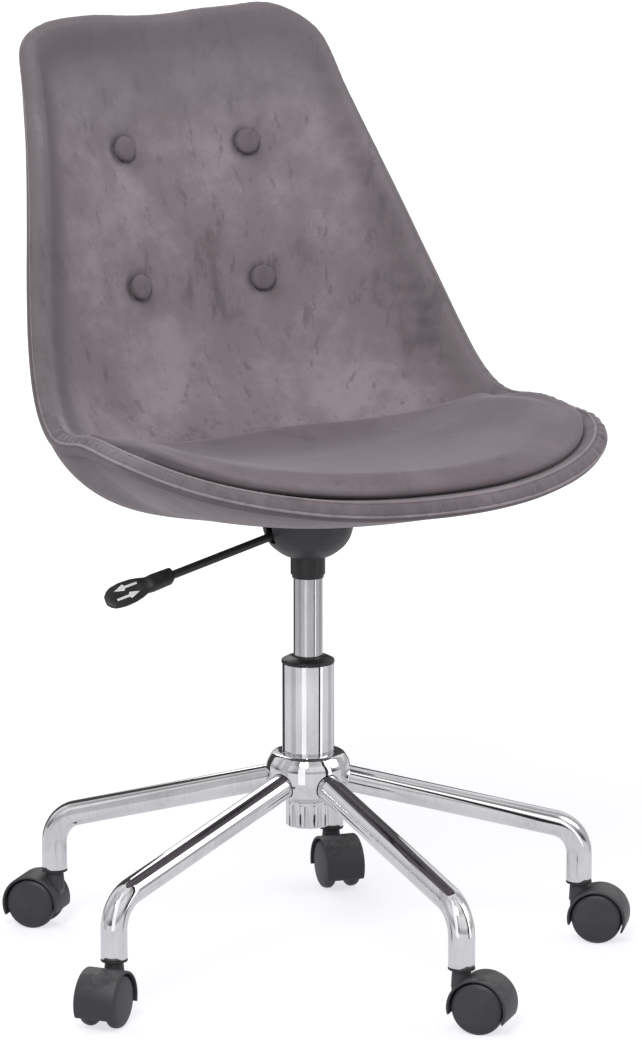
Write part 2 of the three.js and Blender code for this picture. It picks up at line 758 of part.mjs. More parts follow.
// Running sums of the centre line at one-millimetre steps, from the front edge.
function spineTable() {
  const margin = 6;
  const table = [];
  let y = 0;
  let z = 0;
  for (let a = SEAT_FRONT - margin; a <= BACK_TOP + margin; a += 1) {
    table.push([y, z]);
    y += Math.cos(spineSlope(a + 0.5));
    z += Math.sin(spineSlope(a + 0.5));
  }
  const [zeroY, zeroZ] = table[margin - SEAT_FRONT];
  const lookup = (a) => {
    const at = Math.min(Math.max(a - SEAT_FRONT + margin, 0), table.length - 1.001);
    const i = Math.floor(at);
    const t = at - i;
    return [
      SPINE_Y + mix(table[i][0], table[i + 1][0], t) - zeroY,
      spineZ + mix(table[i][1], table[i + 1][1], t) - zeroZ,
    ];
  };
  return lookup;
}

const spine = spineTable();

// Smooth curve through [position, value] stations.
function through(stations, at) {
  const last = stations.length - 1;
  const x = Math.min(Math.max(at, stations[0][0]), stations[last][0]);
  let i = 0;
  while (i < last - 1 && x > stations[i + 1][0]) {
    i += 1;
  }
  const tangent = (k) => {
    const low = stations[Math.max(k - 1, 0)];
    const high = stations[Math.min(k + 1, last)];
    return (high[1] - low[1]) / (high[0] - low[0]);
  };
  const span = stations[i + 1][0] - stations[i][0];
  const t = (x - stations[i][0]) / span;
  const bow = tangent(i) * span * t * (1 - t) ** 2 - tangent(i + 1) * span * t * t * (1 - t);
  return mix(stations[i][1], stations[i + 1][1], blend(t)) + bow;
}

const sideWidth = (a) => mix(SEAT_HALF_WIDTH, BACK_HALF_WIDTH, blend((a - TAPER_START) / (TAPER_END - TAPER_START)));
const rounded = (t, power) => Math.max(0, 1 - clamp01(t) ** power) ** (1 / power);

function skinPoint(a, x) {
  const [y, z] = spine(a);
  const rise = through(SIDE_RISE, a) * Math.abs(x / sideWidth(a)) ** SIDE_POWER;
  const lean = curlSlope(a);
  return new THREE.Vector3(x, y - Math.sin(lean) * rise, z + Math.cos(lean) * rise);
}

// Point at a distance above the seat surface (negative is below it).
function offsetPoint(a, x, above) {
  const across = skinPoint(a, x + 1).sub(skinPoint(a, x - 1));
  const along = skinPoint(a + 1, x).sub(skinPoint(a - 1, x));
  const normal = across.cross(along).normalize();
  return skinPoint(a, x).addScaledVector(normal, above);
}

// Outline of a panel in (along, across): half width follows the seat sides.
function outline(from, to, narrowBy, frontRound, frontPower, rearRound, rearPower, half) {
  const points = [];
  for (let i = 0; i < half * 2; i += 1) {
    const side = i <= half ? 1 : -1;
    const t = i <= half ? i / half : (2 * half - i) / half;
    const a = mix(from, to, (1 - Math.cos(Math.PI * t)) / 2);
    const front = rounded((from + frontRound - a) / frontRound, frontPower);
    const rear = rounded((a - to + rearRound) / rearRound, rearPower);
    points.push([a, side * (sideWidth(a) - narrowBy) * front * rear]);
  }
  return points;
}

const SHELL_HALF = 20;
const shellOutline = outline(
  SEAT_FRONT,
  BACK_TOP,
  0,
  FRONT_ROUND,
  FRONT_POWER,
  TOP_ROUND,
  TOP_POWER,
  SHELL_HALF,
);

function panelRing(edge, centre, share, above) {
  if (share === 0) {
    return [offsetPoint(centre, 0, above)];
  }
  return edge.map(([a, x]) => offsetPoint(mix(centre, a, share), x * share, above));
}

// Closed panel: the upper face out to the rim, round the edge, back under.
function panel(edge, centre, upper, lower) {
  const top = upper.map(([share, above]) => panelRing(edge, centre, share, above));
  const bottom = lower.map(([share, above]) => panelRing(edge, centre, share, above));
  return loft([...top, ...bottom.reverse()], false, top.length);
}

const shares = [0, 0.12, 0.24, 0.36, 0.5, 0.65, 0.8, 0.91, SHELL_INSET];
const padDepth = (share) => -mix(PAD_RIM, PAD_MID, 1 - share ** 4);
const skinDepth = (share) => -mix(SKIN_RIM, SKIN_MID, 1 - share ** 5);

function buildShell() {
  const padTop = [...shares.map((s) => [s, 0]), [0.985, -0.4], [1, -3.5]];
  const padBottom = [...shares.map((s) => [s, padDepth(s)]), [0.996, padDepth(1)]];
  place('inner_upholstery', panel(shellOutline, FAN_CENTRE, padTop, padBottom), VELVET);

  const shellTop = shares.map((s) => [s, padDepth(s) - LAYER_GAP]);
  const shellBottom = shellTop.map(([s, depth]) => [s, depth - SHELL_T]);
  const shell = panel(shellOutline, FAN_CENTRE, shellTop, shellBottom);
  place('seat_shell', cutBy(shell, ...boltHoles()), HARD_SHELL);

  const under = (s) => padDepth(s) - SHELL_T - 2 * LAYER_GAP;
  const skinTop = [
    ...shares.map((s) => [s, under(s)]),
    [SHELL_INSET + 0.008, under(1)],
    [SHELL_INSET + 0.014, padDepth(1) - 2 * LAYER_GAP],
    [0.996, padDepth(1) - LAYER_GAP],
  ];
  const skinBottom = [...shares.map((s) => [s, skinDepth(s)]), [0.99, 2 - SKIN_RIM]];
  const skin = panel(shellOutline, FAN_CENTRE, skinTop, skinBottom);
  const boss = upright(COVER_RADIUS - 0.5, mountZ, mountZ + 9, 0, 0, 24);
  place('outer_upholstery', cutBy(united(skin, boss), ...boltHoles()), VELVET_DARK);
}

function boltHoles() {
  const top = plateBottomZ + BOLT_LENGTH;
  return boltSpots.map(([x, y]) => upright(BOLT_OD / 2 + GAP + 0.1, mountZ - 1, top + GAP, x, y, 12));
}

function buildCushion() {
  const edge = outline(
    CUSHION_FRONT,
    CUSHION_REAR,
    CUSHION_INSET + 10,
    FRONT_ROUND,
    FRONT_POWER,
    CUSHION_REAR_ROUND,
    TOP_POWER,
    16,
  );
  const top = [[0, CUSHION_T], [0.4, CUSHION_T], [0.72, CUSHION_T * 0.94], [0.92, CUSHION_T * 0.76], [1, CUSHION_EDGE_T]];
  const bottom = [[0, CUSHION_CLEAR], [0.4, CUSHION_CLEAR], [0.72, CUSHION_CLEAR], [0.97, CUSHION_CLEAR]];
  place('seat_cushion', panel(edge, CUSHION_CENTRE, top, bottom), VELVET);
}

// Highest point of the padding under a button's rim, above the point it is sewn to.
function paddingRise(padding, seat, turn, radius) {
  const inward = new THREE.Vector3(0, 0, -1).applyQuaternion(turn);
  const start = 20;
  const heights = circle(radius, start, 16).map((p) => {
    const ray = new THREE.Raycaster(p.applyQuaternion(turn).add(seat), inward);
    const [hit] = ray.intersectObject(padding);
    return start - hit.distance;
  });
  return Math.max(0, ...heights);
}

// Domed button standing on the padded back.
function buildTufts() {
  const padding = part.getObjectByName('inner_upholstery');
  const r = TUFT_OD / 2;
  let count = 0;
  BUTTON_DROPS.forEach((drop) => [-1, 1].forEach((side) => {
    count += 1;
    const button = revolve([[0, 0], [r * 0.8, 0], [r, 2.4], [r * 0.86, 5], [r * 0.5, TUFT_T - 0.7], [0, TUFT_T]], 16);
    const at = [BACK_TOP - drop, side * TUFT_OFFSET_X];
    const seat = skinPoint(...at);
    const normal = offsetPoint(...at, 1).sub(seat);
    const turn = new THREE.Quaternion().setFromUnitVectors(new THREE.Vector3(0, 0, 1), normal);
    const foot = seat.addScaledVector(normal, TUFT_CLEAR + paddingRise(padding, seat, turn, r));
    button.applyQuaternion(turn);
    button.translate(foot.x, foot.y, foot.z);
    place(`tuft_button_${count}`, button, VELVET);
  }));
}

buildHub();
buildSkirt();
buildArms();
buildColumn();
buildPiston();
buildCylinder();
buildPlate();
buildBolts();
buildCover();
buildLever();
buildHandle();
buildCasters();
buildShell();
buildCushion();
buildTufts();

export default part;
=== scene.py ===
"""Looks of an upholstered swivel chair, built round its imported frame.

Metres, +Z up, the sitter faces -Y, origin on the floor under the column.
"""

import logging
import math
from dataclasses import dataclass
from enum import Enum
from typing import Callable, Sequence

import bmesh
import bpy
import numpy as np
from mathutils import Matrix, Vector


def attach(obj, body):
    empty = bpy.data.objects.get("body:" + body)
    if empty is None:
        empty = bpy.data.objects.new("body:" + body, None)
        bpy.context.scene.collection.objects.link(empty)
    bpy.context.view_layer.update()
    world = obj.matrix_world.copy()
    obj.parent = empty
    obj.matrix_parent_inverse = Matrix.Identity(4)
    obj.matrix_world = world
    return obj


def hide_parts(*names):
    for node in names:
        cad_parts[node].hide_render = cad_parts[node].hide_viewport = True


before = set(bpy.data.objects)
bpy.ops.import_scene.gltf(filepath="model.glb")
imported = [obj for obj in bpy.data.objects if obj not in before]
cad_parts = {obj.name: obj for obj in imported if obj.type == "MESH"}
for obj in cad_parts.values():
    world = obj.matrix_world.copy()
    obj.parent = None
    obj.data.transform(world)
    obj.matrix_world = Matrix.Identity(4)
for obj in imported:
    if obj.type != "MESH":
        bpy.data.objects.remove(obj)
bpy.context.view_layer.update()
LOG = logging.getLogger("chair")

Array = np.ndarray
Mask = Array | float
Shell = tuple[Array, list[tuple[int, ...]]]
Profile = Sequence[tuple[float, float, float]]
Colour = tuple[float, float, float, float]

ARMS = 5
GAP = 0.0003  # between pieces that fit into each other
FOOT_RADIUS = 0.2733
FOOT_Z = 0.05939
TUBE_RADIUS = 0.0125
LEVER_X = -0.024
LEVER_Z = 0.4233


# ------------------------------------------------------------------ mesh tools
def smooth_step(t: Array) -> Array:
    """Cubic ease from 0 to 1, flat outside that range."""
    c = np.clip(t, 0.0, 1.0)
    return c * c * (3.0 - 2.0 * c)


def hump(t: Array, middle: float, wide: float) -> Array:
    """Bell curve of height 1."""
    return np.exp(-(((t - middle) / wide) ** 2))


def crowded(run: Array, power: float) -> Array:
    """Even shares from 0 to 1, drawn closer together toward 1."""
    return 1.0 - (1.0 - run) ** power


def fanned(centre: Array, rim: Array, share: float) -> Array:
    """Points at a share of the way from a centre to a rim; a single one at share 0."""
    place = centre + (rim - centre) * share
    return place[:1] if share == 0.0 else place


def whole_turn(count: int) -> Array:
    """Even angles round a circle, in radians."""
    return np.arange(count) * 2.0 * math.pi / count


def arm_bearing(k: int) -> float:
    """Bearing of arm k in radians, counted from 0 at the front."""
    return math.radians(-90 + 360 / ARMS * k)


def loft(rings: Sequence[Array], closed: bool = False) -> Shell:
    """Joins rings of points into one surface.

    Args:
        rings: Rings of equal length; a ring of one point is a pole.
        closed: Whether the last ring joins the first.

    Returns:
        The vertices and the faces.
    """
    starts = np.cumsum([0] + [len(r) for r in rings])
    faces: list[tuple[int, ...]] = []
    count = len(rings) if closed else len(rings) - 1
    for k in range(count):
        nxt = (k + 1) % len(rings)
        a, b = int(starts[k]), int(starts[nxt])
        size_a, size_b = len(rings[k]), len(rings[nxt])
        size = max(size_a, size_b)
        if size == 1:
            continue
        for i in range(size):
            j = (i + 1) % size
            if size_a == 1:
                faces.append((a, b + i, b + j))
            elif size_b == 1:
                faces.append((a + j, a + i, b))
            else:
                faces.append((a + j, a + i, b + i, b + j))
    return np.vstack(rings), faces


def capped(rings: Sequence[Array]) -> Shell:
    """Lofts rings and closes both ends on their middles."""
    return loft([rings[0].mean(0)[None, :], *rings, rings[-1].mean(0)[None, :]])


def combine(shells: Sequence[Shell]) -> Shell:
    """Puts several closed shells into one mesh.

    Args:
        shells: The shells.

    Returns:
        The vertices and the faces of all of them.
    """
    verts, faces, base = [], [], 0
    for points, cells in shells:
        verts.append(points)
        faces.extend(tuple(i + base for i in cell) for cell in cells)
        base += len(points)
    return np.vstack(verts), faces


def eased(corners: Profile, closed: bool, steps: int = 5) -> list[tuple[float, float]]:
    """Rounds the corners of a turned part's section.

    Args:
        corners: (radius, height, rounding) of each corner; rounding 0 stays sharp.
        closed: Whether the section's last corner joins the first.
        steps: Points along each rounded corner.

    Returns:
        The finer section as (radius, height) pairs.
    """
    out: list[tuple[float, float]] = []
    last = len(corners) - 1
    for i, (r, z, rounding) in enumerate(corners):
        here = np.array([r, z])
        end = not closed and i in (0, last)
        if end or rounding <= 0.0:
            out.append((r, z))
            continue
        before = np.array(corners[i - 1][:2]) - here
        after = np.array(corners[(i + 1) % len(corners)][:2]) - here
        reach = min(rounding, 0.45 * np.linalg.norm(before), 0.45 * np.linalg.norm(after))
        start = here + before / np.linalg.norm(before) * reach
        stop = here + after / np.linalg.norm(after) * reach
        for t in np.linspace(0.0, 1.0, steps):
            p = (1 - t) ** 2 * start + 2 * t * (1 - t) * here + t * t * stop
            out.append((float(p[0]), float(p[1])))
    return out


def turned(section: Sequence[tuple[float, float]], sides: int, closed: bool) -> Shell:
    """Solid of revolution about Z.

    Args:
        section: (radius, height) pairs.
        sides: Facets round the axis.
        closed: Whether the section closes on itself and so leaves a bore.

    Returns:
        The vertices and the faces.
    """
    angle = whole_turn(sides)
    rings = []
    for r, z in section:
        if r < 1e-7:
            rings.append(np.array([[0.0, 0.0, z]]))
        else:
            rings.append(np.stack([r * np.cos(angle), r * np.sin(angle), np.full(sides, z)], 1))
    return loft(rings, closed)


def swept(path: Array, section: Callable[[float], Array], up: Vector) -> Shell:
    """Sweeps a section along a path, closed with a pole at each end.

    Args:
        path: Points of the path, in order.
        section: Gives the section's (side, up) points for a share 0 to 1 of the path.
        up: Direction that the section's second axis leans to.

    Returns:
        The vertices and the faces.
    """
    tangents = np.gradient(path, axis=0)
    tangents /= np.linalg.norm(tangents, axis=1)[:, None]
    rings = [path[:1]]
    for i, (point, along) in enumerate(zip(path, tangents)):
        side = np.cross(along, np.array(up))
        side /= np.linalg.norm(side)
        lift = np.cross(side, along)
        flat = section(i / (len(path) - 1))
        rings.append(point + flat[:, :1] * side + flat[:, 1:] * lift)
    rings.append(path[-1:])
    return loft(rings)


def round_section(radius: float, sides: int) -> Array:
    """Circle of a given radius as (side, up) points."""
    angle = whole_turn(sides)
    return np.stack([radius * np.cos(angle), radius * np.sin(angle)], 1)


def moved(shell: Shell, matrix: Matrix) -> Shell:
    """The shell carried by a matrix."""
    m = np.array(matrix)
    return shell[0] @ m[:3, :3].T + m[:3, 3], shell[1]


def extruded(outline: Sequence[tuple[float, float]], half: float, rounding: float) -> Shell:
    """Plate in the Y-Z plane with eased edges, from -half to half along X.

    Args:
        outline: (y, z) corners in order.
        half: Half of the plate's thickness.
        rounding: How far the edges are eased.

    Returns:
        The vertices and the faces.
    """
    flat = np.array(outline)
    centre = flat.mean(0)
    rings = []
    for x, inset in ((-half, rounding), (-half + rounding, 0.0), (half - rounding, 0.0), (half, rounding)):
        toward = centre - flat
        pulled = flat + toward / np.linalg.norm(toward, axis=1)[:, None] * inset
        rings.append(np.column_stack([np.full(len(flat), x), pulled]))
    ends = [np.array([[x, centre[0], centre[1]]]) for x in (-half, half)]
    return loft([ends[0], *rings, ends[1]])


def shown(name: str, shell: Shell, crease: float = 40.0) -> bpy.types.Object:
    """Makes a smooth-shaded object from a shell.

    Args:
        name: The piece's name.
        shell: Its vertices and faces.
        crease: Angle in degrees above which an edge stays sharp.

    Returns:
        The new object.
    """
    mesh = bpy.data.meshes.new(name)
    mesh.from_pydata(shell[0].tolist(), [], shell[1])
    work = bmesh.new()
    work.from_mesh(mesh)
    bmesh.ops.recalc_face_normals(work, faces=work.faces)
    work.to_mesh(mesh)
    work.free()
    mesh.shade_smooth()
    mesh.set_sharp_from_angle(angle=math.radians(crease))
    obj = bpy.data.objects.new(name, mesh)
    bpy.context.scene.collection.objects.link(obj)
    return obj


def settle(obj: bpy.types.Object) -> None:
    """Applies the object's modifiers to its mesh.

    Args:
        obj: The object, which gets the new mesh.
    """
    seen = bpy.context.evaluated_depsgraph_get()
    mesh = bpy.data.meshes.new_from_object(obj.evaluated_get(seen))
    old = obj.data
    obj.modifiers.clear()
    obj.data = mesh
    bpy.data.meshes.remove(old)


def cut(obj: bpy.types.Object, tools: Sequence[Shell]) -> None:
    """Cuts closed shells out of an object, and applies the cuts.

    Args:
        obj: The object to cut.
        tools: The closed shells.
    """
    for i, tool in enumerate(tools):
        cutter = shown(f"cutter_{i}", tool)
        step = obj.modifiers.new("cut", "BOOLEAN")
        step.operation, step.solver, step.object = "DIFFERENCE", "EXACT", cutter
        settle(obj)
        bpy.data.objects.remove(cutter)
    obj.data.set_sharp_from_angle(angle=math.radians(35.0))


def points_of(obj: bpy.types.Object) -> Array:
    """The object's vertices as rows of X, Y and Z."""
    return np.array([v.co for v in obj.data.vertices])


def set_points(obj: bpy.types.Object, points: Array) -> None:
    """Puts the object's vertices at new places."""
    obj.data.vertices.foreach_set("co", points.astype(np.float32).ravel())
    obj.data.update()


def paint(
    piece: bpy.types.Object, rings: Sequence[Array], rim: Sequence[Mask], shade: Sequence[Mask]
) -> None:
    """Stores each vertex's share of painted rim shade and of painted shade on a lofted piece.

    Args:
        piece: The piece.
        rings: The rings that it was lofted from.
        rim: Share of painted rim shade of each ring, or of each point of it.
        shade: Share of painted shade of each ring, or of each point of it.
    """
    for label, values in (("rim", rim), ("shade", shade)):
        layer = piece.data.attributes.new(label, "FLOAT", "POINT")
        flat = [np.broadcast_to(np.asarray(v, float), (len(r),)) for v, r in zip(values, rings)]
        layer.data.foreach_set("value", np.concatenate(flat).astype(np.float32))


def ripple(along: Array, waves: Sequence[tuple[float, float, float]]) -> Array:
    """Sum of sines: each wave is (cycles per unit, phase, height)."""
    return sum(h * np.sin(2.0 * math.pi * f * along + p) for f, p, h in waves)


# ------------------------------------------------------------------ node groups
class Kind(Enum):
    """What a node group's socket carries."""

    VALUE = "NodeSocketFloat"
    COLOUR = "NodeSocketColor"


class NodeNet:
    """Short way to place and link shader nodes in one tree."""

    def __init__(self, tree: bpy.types.NodeTree) -> None:
        """Works on the given tree."""
        self.tree = tree

    def node(self, kind: str, **settings: object) -> bpy.types.Node:
        """Adds a node and sets its properties.

        Args:
            kind: The node's type.
            **settings: Its properties.

        Returns:
            The new node.
        """
        made = self.tree.nodes.new(kind)
        for key, value in settings.items():
            setattr(made, key, value)
        return made

    def link(self, source: bpy.types.NodeSocket, target: bpy.types.NodeSocket) -> None:
        """Joins two sockets."""
        self.tree.links.new(source, target)

    def feed(self, socket: bpy.types.NodeSocket, value: object) -> None:
        """Links a socket or sets its default value.

        Args:
            socket: The socket.
            value: A socket or a plain value; None leaves it.
        """
        if isinstance(value, bpy.types.NodeSocket):
            self.link(value, socket)
        elif value is not None:
            socket.default_value = value

    def noise(
        self, scale: object, detail: float, rough: float, where: object, warp: float = 0.0
    ) -> bpy.types.NodeSocket:
        """Noise value at a place, about 0.5 on average.

        Args:
            scale: Patches per metre, as a number or a socket.
            detail: How many finer layers it has.
            rough: How strong the finer layers are.
            where: Socket of the place.
            warp: How far the pattern is bent.

        Returns:
            The noise value's socket.
        """
        made = self.node("ShaderNodeTexNoise")
        self.feed(made.inputs["Scale"], scale)
        made.inputs["Detail"].default_value = detail
        made.inputs["Roughness"].default_value = rough
        made.inputs["Distortion"].default_value = warp
        self.feed(made.inputs["Vector"], where)
        return made.outputs["Fac"]

    def math(self, operation: str, a: object, b: object = None, c: object = None) -> bpy.types.NodeSocket:
        """One arithmetic step.

        Args:
            operation: The step's name.
            a: First number or socket.
            b: Second number or socket.
            c: Third number or socket.

        Returns:
            The result's socket.
        """
        made = self.node("ShaderNodeMath", operation=operation)
        for socket, value in zip(made.inputs, (a, b, c)):
            self.feed(socket, value)
        return made.outputs[0]

    def span(
        self, value: object, low: float, high: float, to_low: float, to_high: float
    ) -> bpy.types.NodeSocket:
        """Smoothly maps one range of a value to another.

        Args:
            value: The value's socket.
            low: Start of its range.
            high: End of its range.
            to_low: Result at the start.
            to_high: Result at the end.

        Returns:
            The result's socket.
        """
        made = self.node("ShaderNodeMapRange", interpolation_type="SMOOTHSTEP")
        for socket, item in zip(made.inputs, (value, low, high, to_low, to_high)):
            self.feed(socket, item)
        return made.outputs[0]

    def mix(self, share: object, a: object, b: object) -> bpy.types.NodeSocket:
        """Mixes two colours.

        Args:
            share: Share of the second colour.
            a: First colour.
            b: Second colour.

        Returns:
            The mixed colour's socket.
        """
        made = self.node("ShaderNodeMix", data_type="RGBA")
        self.feed(made.inputs[0], share)
        self.feed(made.inputs[6], a)
        self.feed(made.inputs[7], b)
        return made.outputs[2]

    def place(self) -> bpy.types.NodeSocket:
        """The object's own coordinates."""
        return self.node("ShaderNodeTexCoord").outputs["Object"]

    def drawn_out(self, where: object, tall: float) -> bpy.types.NodeSocket:
        """A place with its height scaled, so that patterns on it become streaks.

        Args:
            where: Socket of the place.
            tall: Scale of the height.

        Returns:
            The scaled place's socket.
        """
        made = self.node("ShaderNodeMapping")
        self.link(where, made.inputs["Vector"])
        made.inputs["Scale"].default_value = (1.0, 1.0, tall)
        return made.outputs[0]


class GroupMaker:
    """Builds each shared effect once as a node group."""

    def __init__(self) -> None:
        """Starts with no groups."""
        self.made: dict[str, bpy.types.ShaderNodeTree] = {}

    def start(
        self, name: str, ins: dict[str, tuple[Kind, object]], outs: dict[str, Kind]
    ) -> tuple[NodeNet, bpy.types.Node, bpy.types.Node]:
        """Makes an empty group with its sockets.

        Args:
            name: The group's name.
            ins: Input names with their kind and default.
            outs: Output names with their kind.

        Returns:
            The net, the group's input node and its output node.
        """
        tree = bpy.data.node_groups.new(name, "ShaderNodeTree")
        for label, (kind, default) in ins.items():
            socket = tree.interface.new_socket(label, in_out="INPUT", socket_type=kind.value)
            socket.default_value = default
        for label, kind in outs.items():
            tree.interface.new_socket(label, in_out="OUTPUT", socket_type=kind.value)
        self.made[name] = tree
        net = NodeNet(tree)
        return net, net.node("NodeGroupInput"), net.node("NodeGroupOutput")

    def pile(self) -> bpy.types.ShaderNodeTree:
        """Brushed velvet: crushed patches, streaks and fine pile.

        Returns:
            The group's tree.
        """
        if "brushed_pile" in self.made:
            return self.made["brushed_pile"]
        net, ins, outs = self.start(
            "brushed_pile",
            {
                "Middle": (Kind.COLOUR, (0.2, 0.17, 0.18, 1)),
                "Raised": (Kind.COLOUR, (0.3, 0.26, 0.28, 1)),
                "Flattened": (Kind.COLOUR, (0.1, 0.08, 0.09, 1)),
                "Patch Scale": (Kind.VALUE, 7.0),
                "Pile Scale": (Kind.VALUE, 900.0),
            },
            {"Color": Kind.COLOUR, "Roughness": Kind.VALUE, "Height": Kind.VALUE},
        )
        where = net.place()
        broad = net.noise(ins.outputs["Patch Scale"], 5.0, 0.62, where, 0.12)
        small = net.noise(net.math("MULTIPLY", ins.outputs["Patch Scale"], 4.2), 5.0, 0.68, where, 0.1)
        streak_place = net.drawn_out(where, 0.25)
        streak = net.noise(44.0, 4.0, 0.66, streak_place, 0.1)
        pile = net.noise(ins.outputs["Pile Scale"], 2.0, 0.7, where)
        crushed = net.math("MULTIPLY_ADD", small, 0.45, net.math("MULTIPLY", broad, 0.75))
        tone_mask = net.math("MULTIPLY_ADD", streak, 0.4, net.math("MULTIPLY", broad, 0.7))
        lifted = net.span(crushed, 0.58, 0.76, 0.0, 1.0)
        pressed = net.span(tone_mask, 0.42, 0.53, 1.0, 0.0)
        tone = net.mix(lifted, ins.outputs["Middle"], ins.outputs["Raised"])
        tone = net.mix(net.math("MULTIPLY", pressed, 0.75), tone, ins.outputs["Flattened"])
        grain = net.span(pile, 0.3, 0.7, 0.0, 0.22)
        scuff = net.span(net.noise(75.0, 5.0, 0.72, streak_place, 0.2), 0.57, 0.66, 0.0, 0.5)
        tone = net.mix(scuff, tone, ins.outputs["Flattened"])
        net.link(net.mix(grain, tone, ins.outputs["Flattened"]), outs.inputs["Color"])
        net.link(net.span(broad, 0.3, 0.7, 0.78, 0.95), outs.inputs["Roughness"])
        relief = net.math("MULTIPLY_ADD", small, 0.35, net.math("MULTIPLY", pile, 0.65))
        net.link(relief, outs.inputs["Height"])
        return self.made["brushed_pile"]

    def grain(self) -> bpy.types.ShaderNodeTree:
        """Moulded plastic: fine texture, flow marks and paler worn edges.

        Returns:
            The group's tree.
        """
        if "moulded_grain" in self.made:
            return self.made["moulded_grain"]
        net, ins, outs = self.start(
            "moulded_grain",
            {
                "Body": (Kind.COLOUR, (0.03, 0.03, 0.032, 1)),
                "Worn": (Kind.COLOUR, (0.08, 0.08, 0.085, 1)),
                "Grain Scale": (Kind.VALUE, 1600.0),
                "Gloss": (Kind.VALUE, 0.4),
            },
            {"Color": Kind.COLOUR, "Roughness": Kind.VALUE, "Height": Kind.VALUE},
        )
        where = net.place()
        fine = net.noise(ins.outputs["Grain Scale"], 2.0, 0.6, where)
        cloud = net.noise(24.0, 3.0, 0.6, where)
        point = net.node("ShaderNodeNewGeometry").outputs["Pointiness"]
        patchy = net.span(cloud, 0.35, 0.65, 0.3, 1.0)
        edge = net.math("MULTIPLY", net.span(point, 0.515, 0.58, 0.0, 0.7), patchy)
        worn = net.math("MAXIMUM", edge, net.span(cloud, 0.3, 0.75, 0.0, 0.22))
        net.link(net.mix(worn, ins.outputs["Body"], ins.outputs["Worn"]), outs.inputs["Color"])
        net.link(net.math("MULTIPLY_ADD", cloud, 0.16, ins.outputs["Gloss"]), outs.inputs["Roughness"])
        net.link(fine, outs.inputs["Height"])
        return self.made["moulded_grain"]

    def polish(self) -> bpy.types.ShaderNodeTree:
        """Polished metal: faint smears, fine rubbing marks and slight waves.

        Returns:
            The group's tree.
        """
        if "metal_polish" in self.made:
            return self.made["metal_polish"]
        net, ins, outs = self.start(
            "metal_polish",
            {
                "Bright": (Kind.COLOUR, (0.85, 0.86, 0.88, 1)),
                "Hazed": (Kind.COLOUR, (0.7, 0.7, 0.72, 1)),
                "Low": (Kind.VALUE, 0.03),
                "High": (Kind.VALUE, 0.1),
                "Rub Scale": (Kind.VALUE, 260.0),
            },
            {"Color": Kind.COLOUR, "Roughness": Kind.VALUE, "Height": Kind.VALUE},
        )
        where = net.place()
        smear = net.noise(16.0, 4.0, 0.6, where, 0.6)
        rub = net.noise(ins.outputs["Rub Scale"], 3.0, 0.7, net.drawn_out(where, 0.12))
        haze = net.math("MULTIPLY_ADD", rub, 0.35, net.math("MULTIPLY", smear, 0.65))
        share = net.span(haze, 0.4, 0.68, 0.0, 1.0)
        net.link(net.mix(share, ins.outputs["Bright"], ins.outputs["Hazed"]), outs.inputs["Color"])
        widen = net.math("SUBTRACT", ins.outputs["High"], ins.outputs["Low"])
        net.link(net.math("MULTIPLY_ADD", share, widen, ins.outputs["Low"]), outs.inputs["Roughness"])
        net.link(net.noise(9.0, 1.0, 0.4, where), outs.inputs["Height"])
        return self.made["metal_polish"]

    def dust(self) -> bpy.types.ShaderNodeTree:
        """Thin dust that settles on faces turned upward.

        Returns:
            The group's tree.
        """
        if "settled_dust" in self.made:
            return self.made["settled_dust"]
        net, ins, outs = self.start(
            "settled_dust",
            {
                "Color": (Kind.COLOUR, (0.5, 0.5, 0.5, 1)),
                "Dust": (Kind.COLOUR, (0.42, 0.4, 0.38, 1)),
                "Amount": (Kind.VALUE, 0.1),
            },
            {"Color": Kind.COLOUR, "Mask": Kind.VALUE},
        )
        split = net.node("ShaderNodeSeparateXYZ")
        net.link(net.node("ShaderNodeNewGeometry").outputs["Normal"], split.inputs[0])
        specks = net.span(net.noise(140.0, 4.0, 0.7, net.place()), 0.42, 0.7, 0.15, 1.0)
        upward = net.span(split.outputs["Z"], 0.2, 1.0, 0.0, 1.0)
        mask = net.math("MULTIPLY", net.math("MULTIPLY", specks, upward), ins.outputs["Amount"])
        net.link(net.mix(mask, ins.outputs["Color"], ins.outputs["Dust"]), outs.inputs["Color"])
        net.link(mask, outs.inputs["Mask"])
        return self.made["settled_dust"]


GROUPS = GroupMaker()


# ------------------------------------------------------------------ finishes
def grey(tone: float) -> Colour:
    """Opaque grey."""
    return (tone, tone, tone, 1)


def shader_of(name: str) -> tuple[bpy.types.Material, NodeNet, bpy.types.Node]:
    """Makes a material.

    Args:
        name: Its name.

    Returns:
        The material, its node net and its Principled shader.
    """
    material = bpy.data.materials.new(name)
    material.use_nodes = True
    net = NodeNet(material.node_tree)
    return material, net, material.node_tree.nodes["Principled BSDF"]


def placed(net: NodeNet, tree: bpy.types.ShaderNodeTree, values: dict[str, object]) -> bpy.types.Node:
    """Places a node group in a material with its own values.

    Args:
        net: The material's net.
        tree: The group's tree.
        values: The group's inputs by name.

    Returns:
        The group's node.
    """
    made = net.node("ShaderNodeGroup", node_tree=tree)
    for label, value in values.items():
        net.feed(made.inputs[label], value)
    return made


def add_bump(
    net: NodeNet, shader: bpy.types.Node, height: bpy.types.NodeSocket, strength: float, depth: float
) -> None:
    """Leads a height into the shader's normal.

    Args:
        net: The material's net.
        shader: Its shader.
        height: Socket of the height.
        strength: Share of the bump that counts.
        depth: Depth of the full height, in metres.
    """
    bump = net.node("ShaderNodeBump")
    bump.inputs["Strength"].default_value = strength
    bump.inputs["Distance"].default_value = depth
    net.link(height, bump.inputs["Height"])
    net.link(bump.outputs["Normal"], shader.inputs["Normal"])


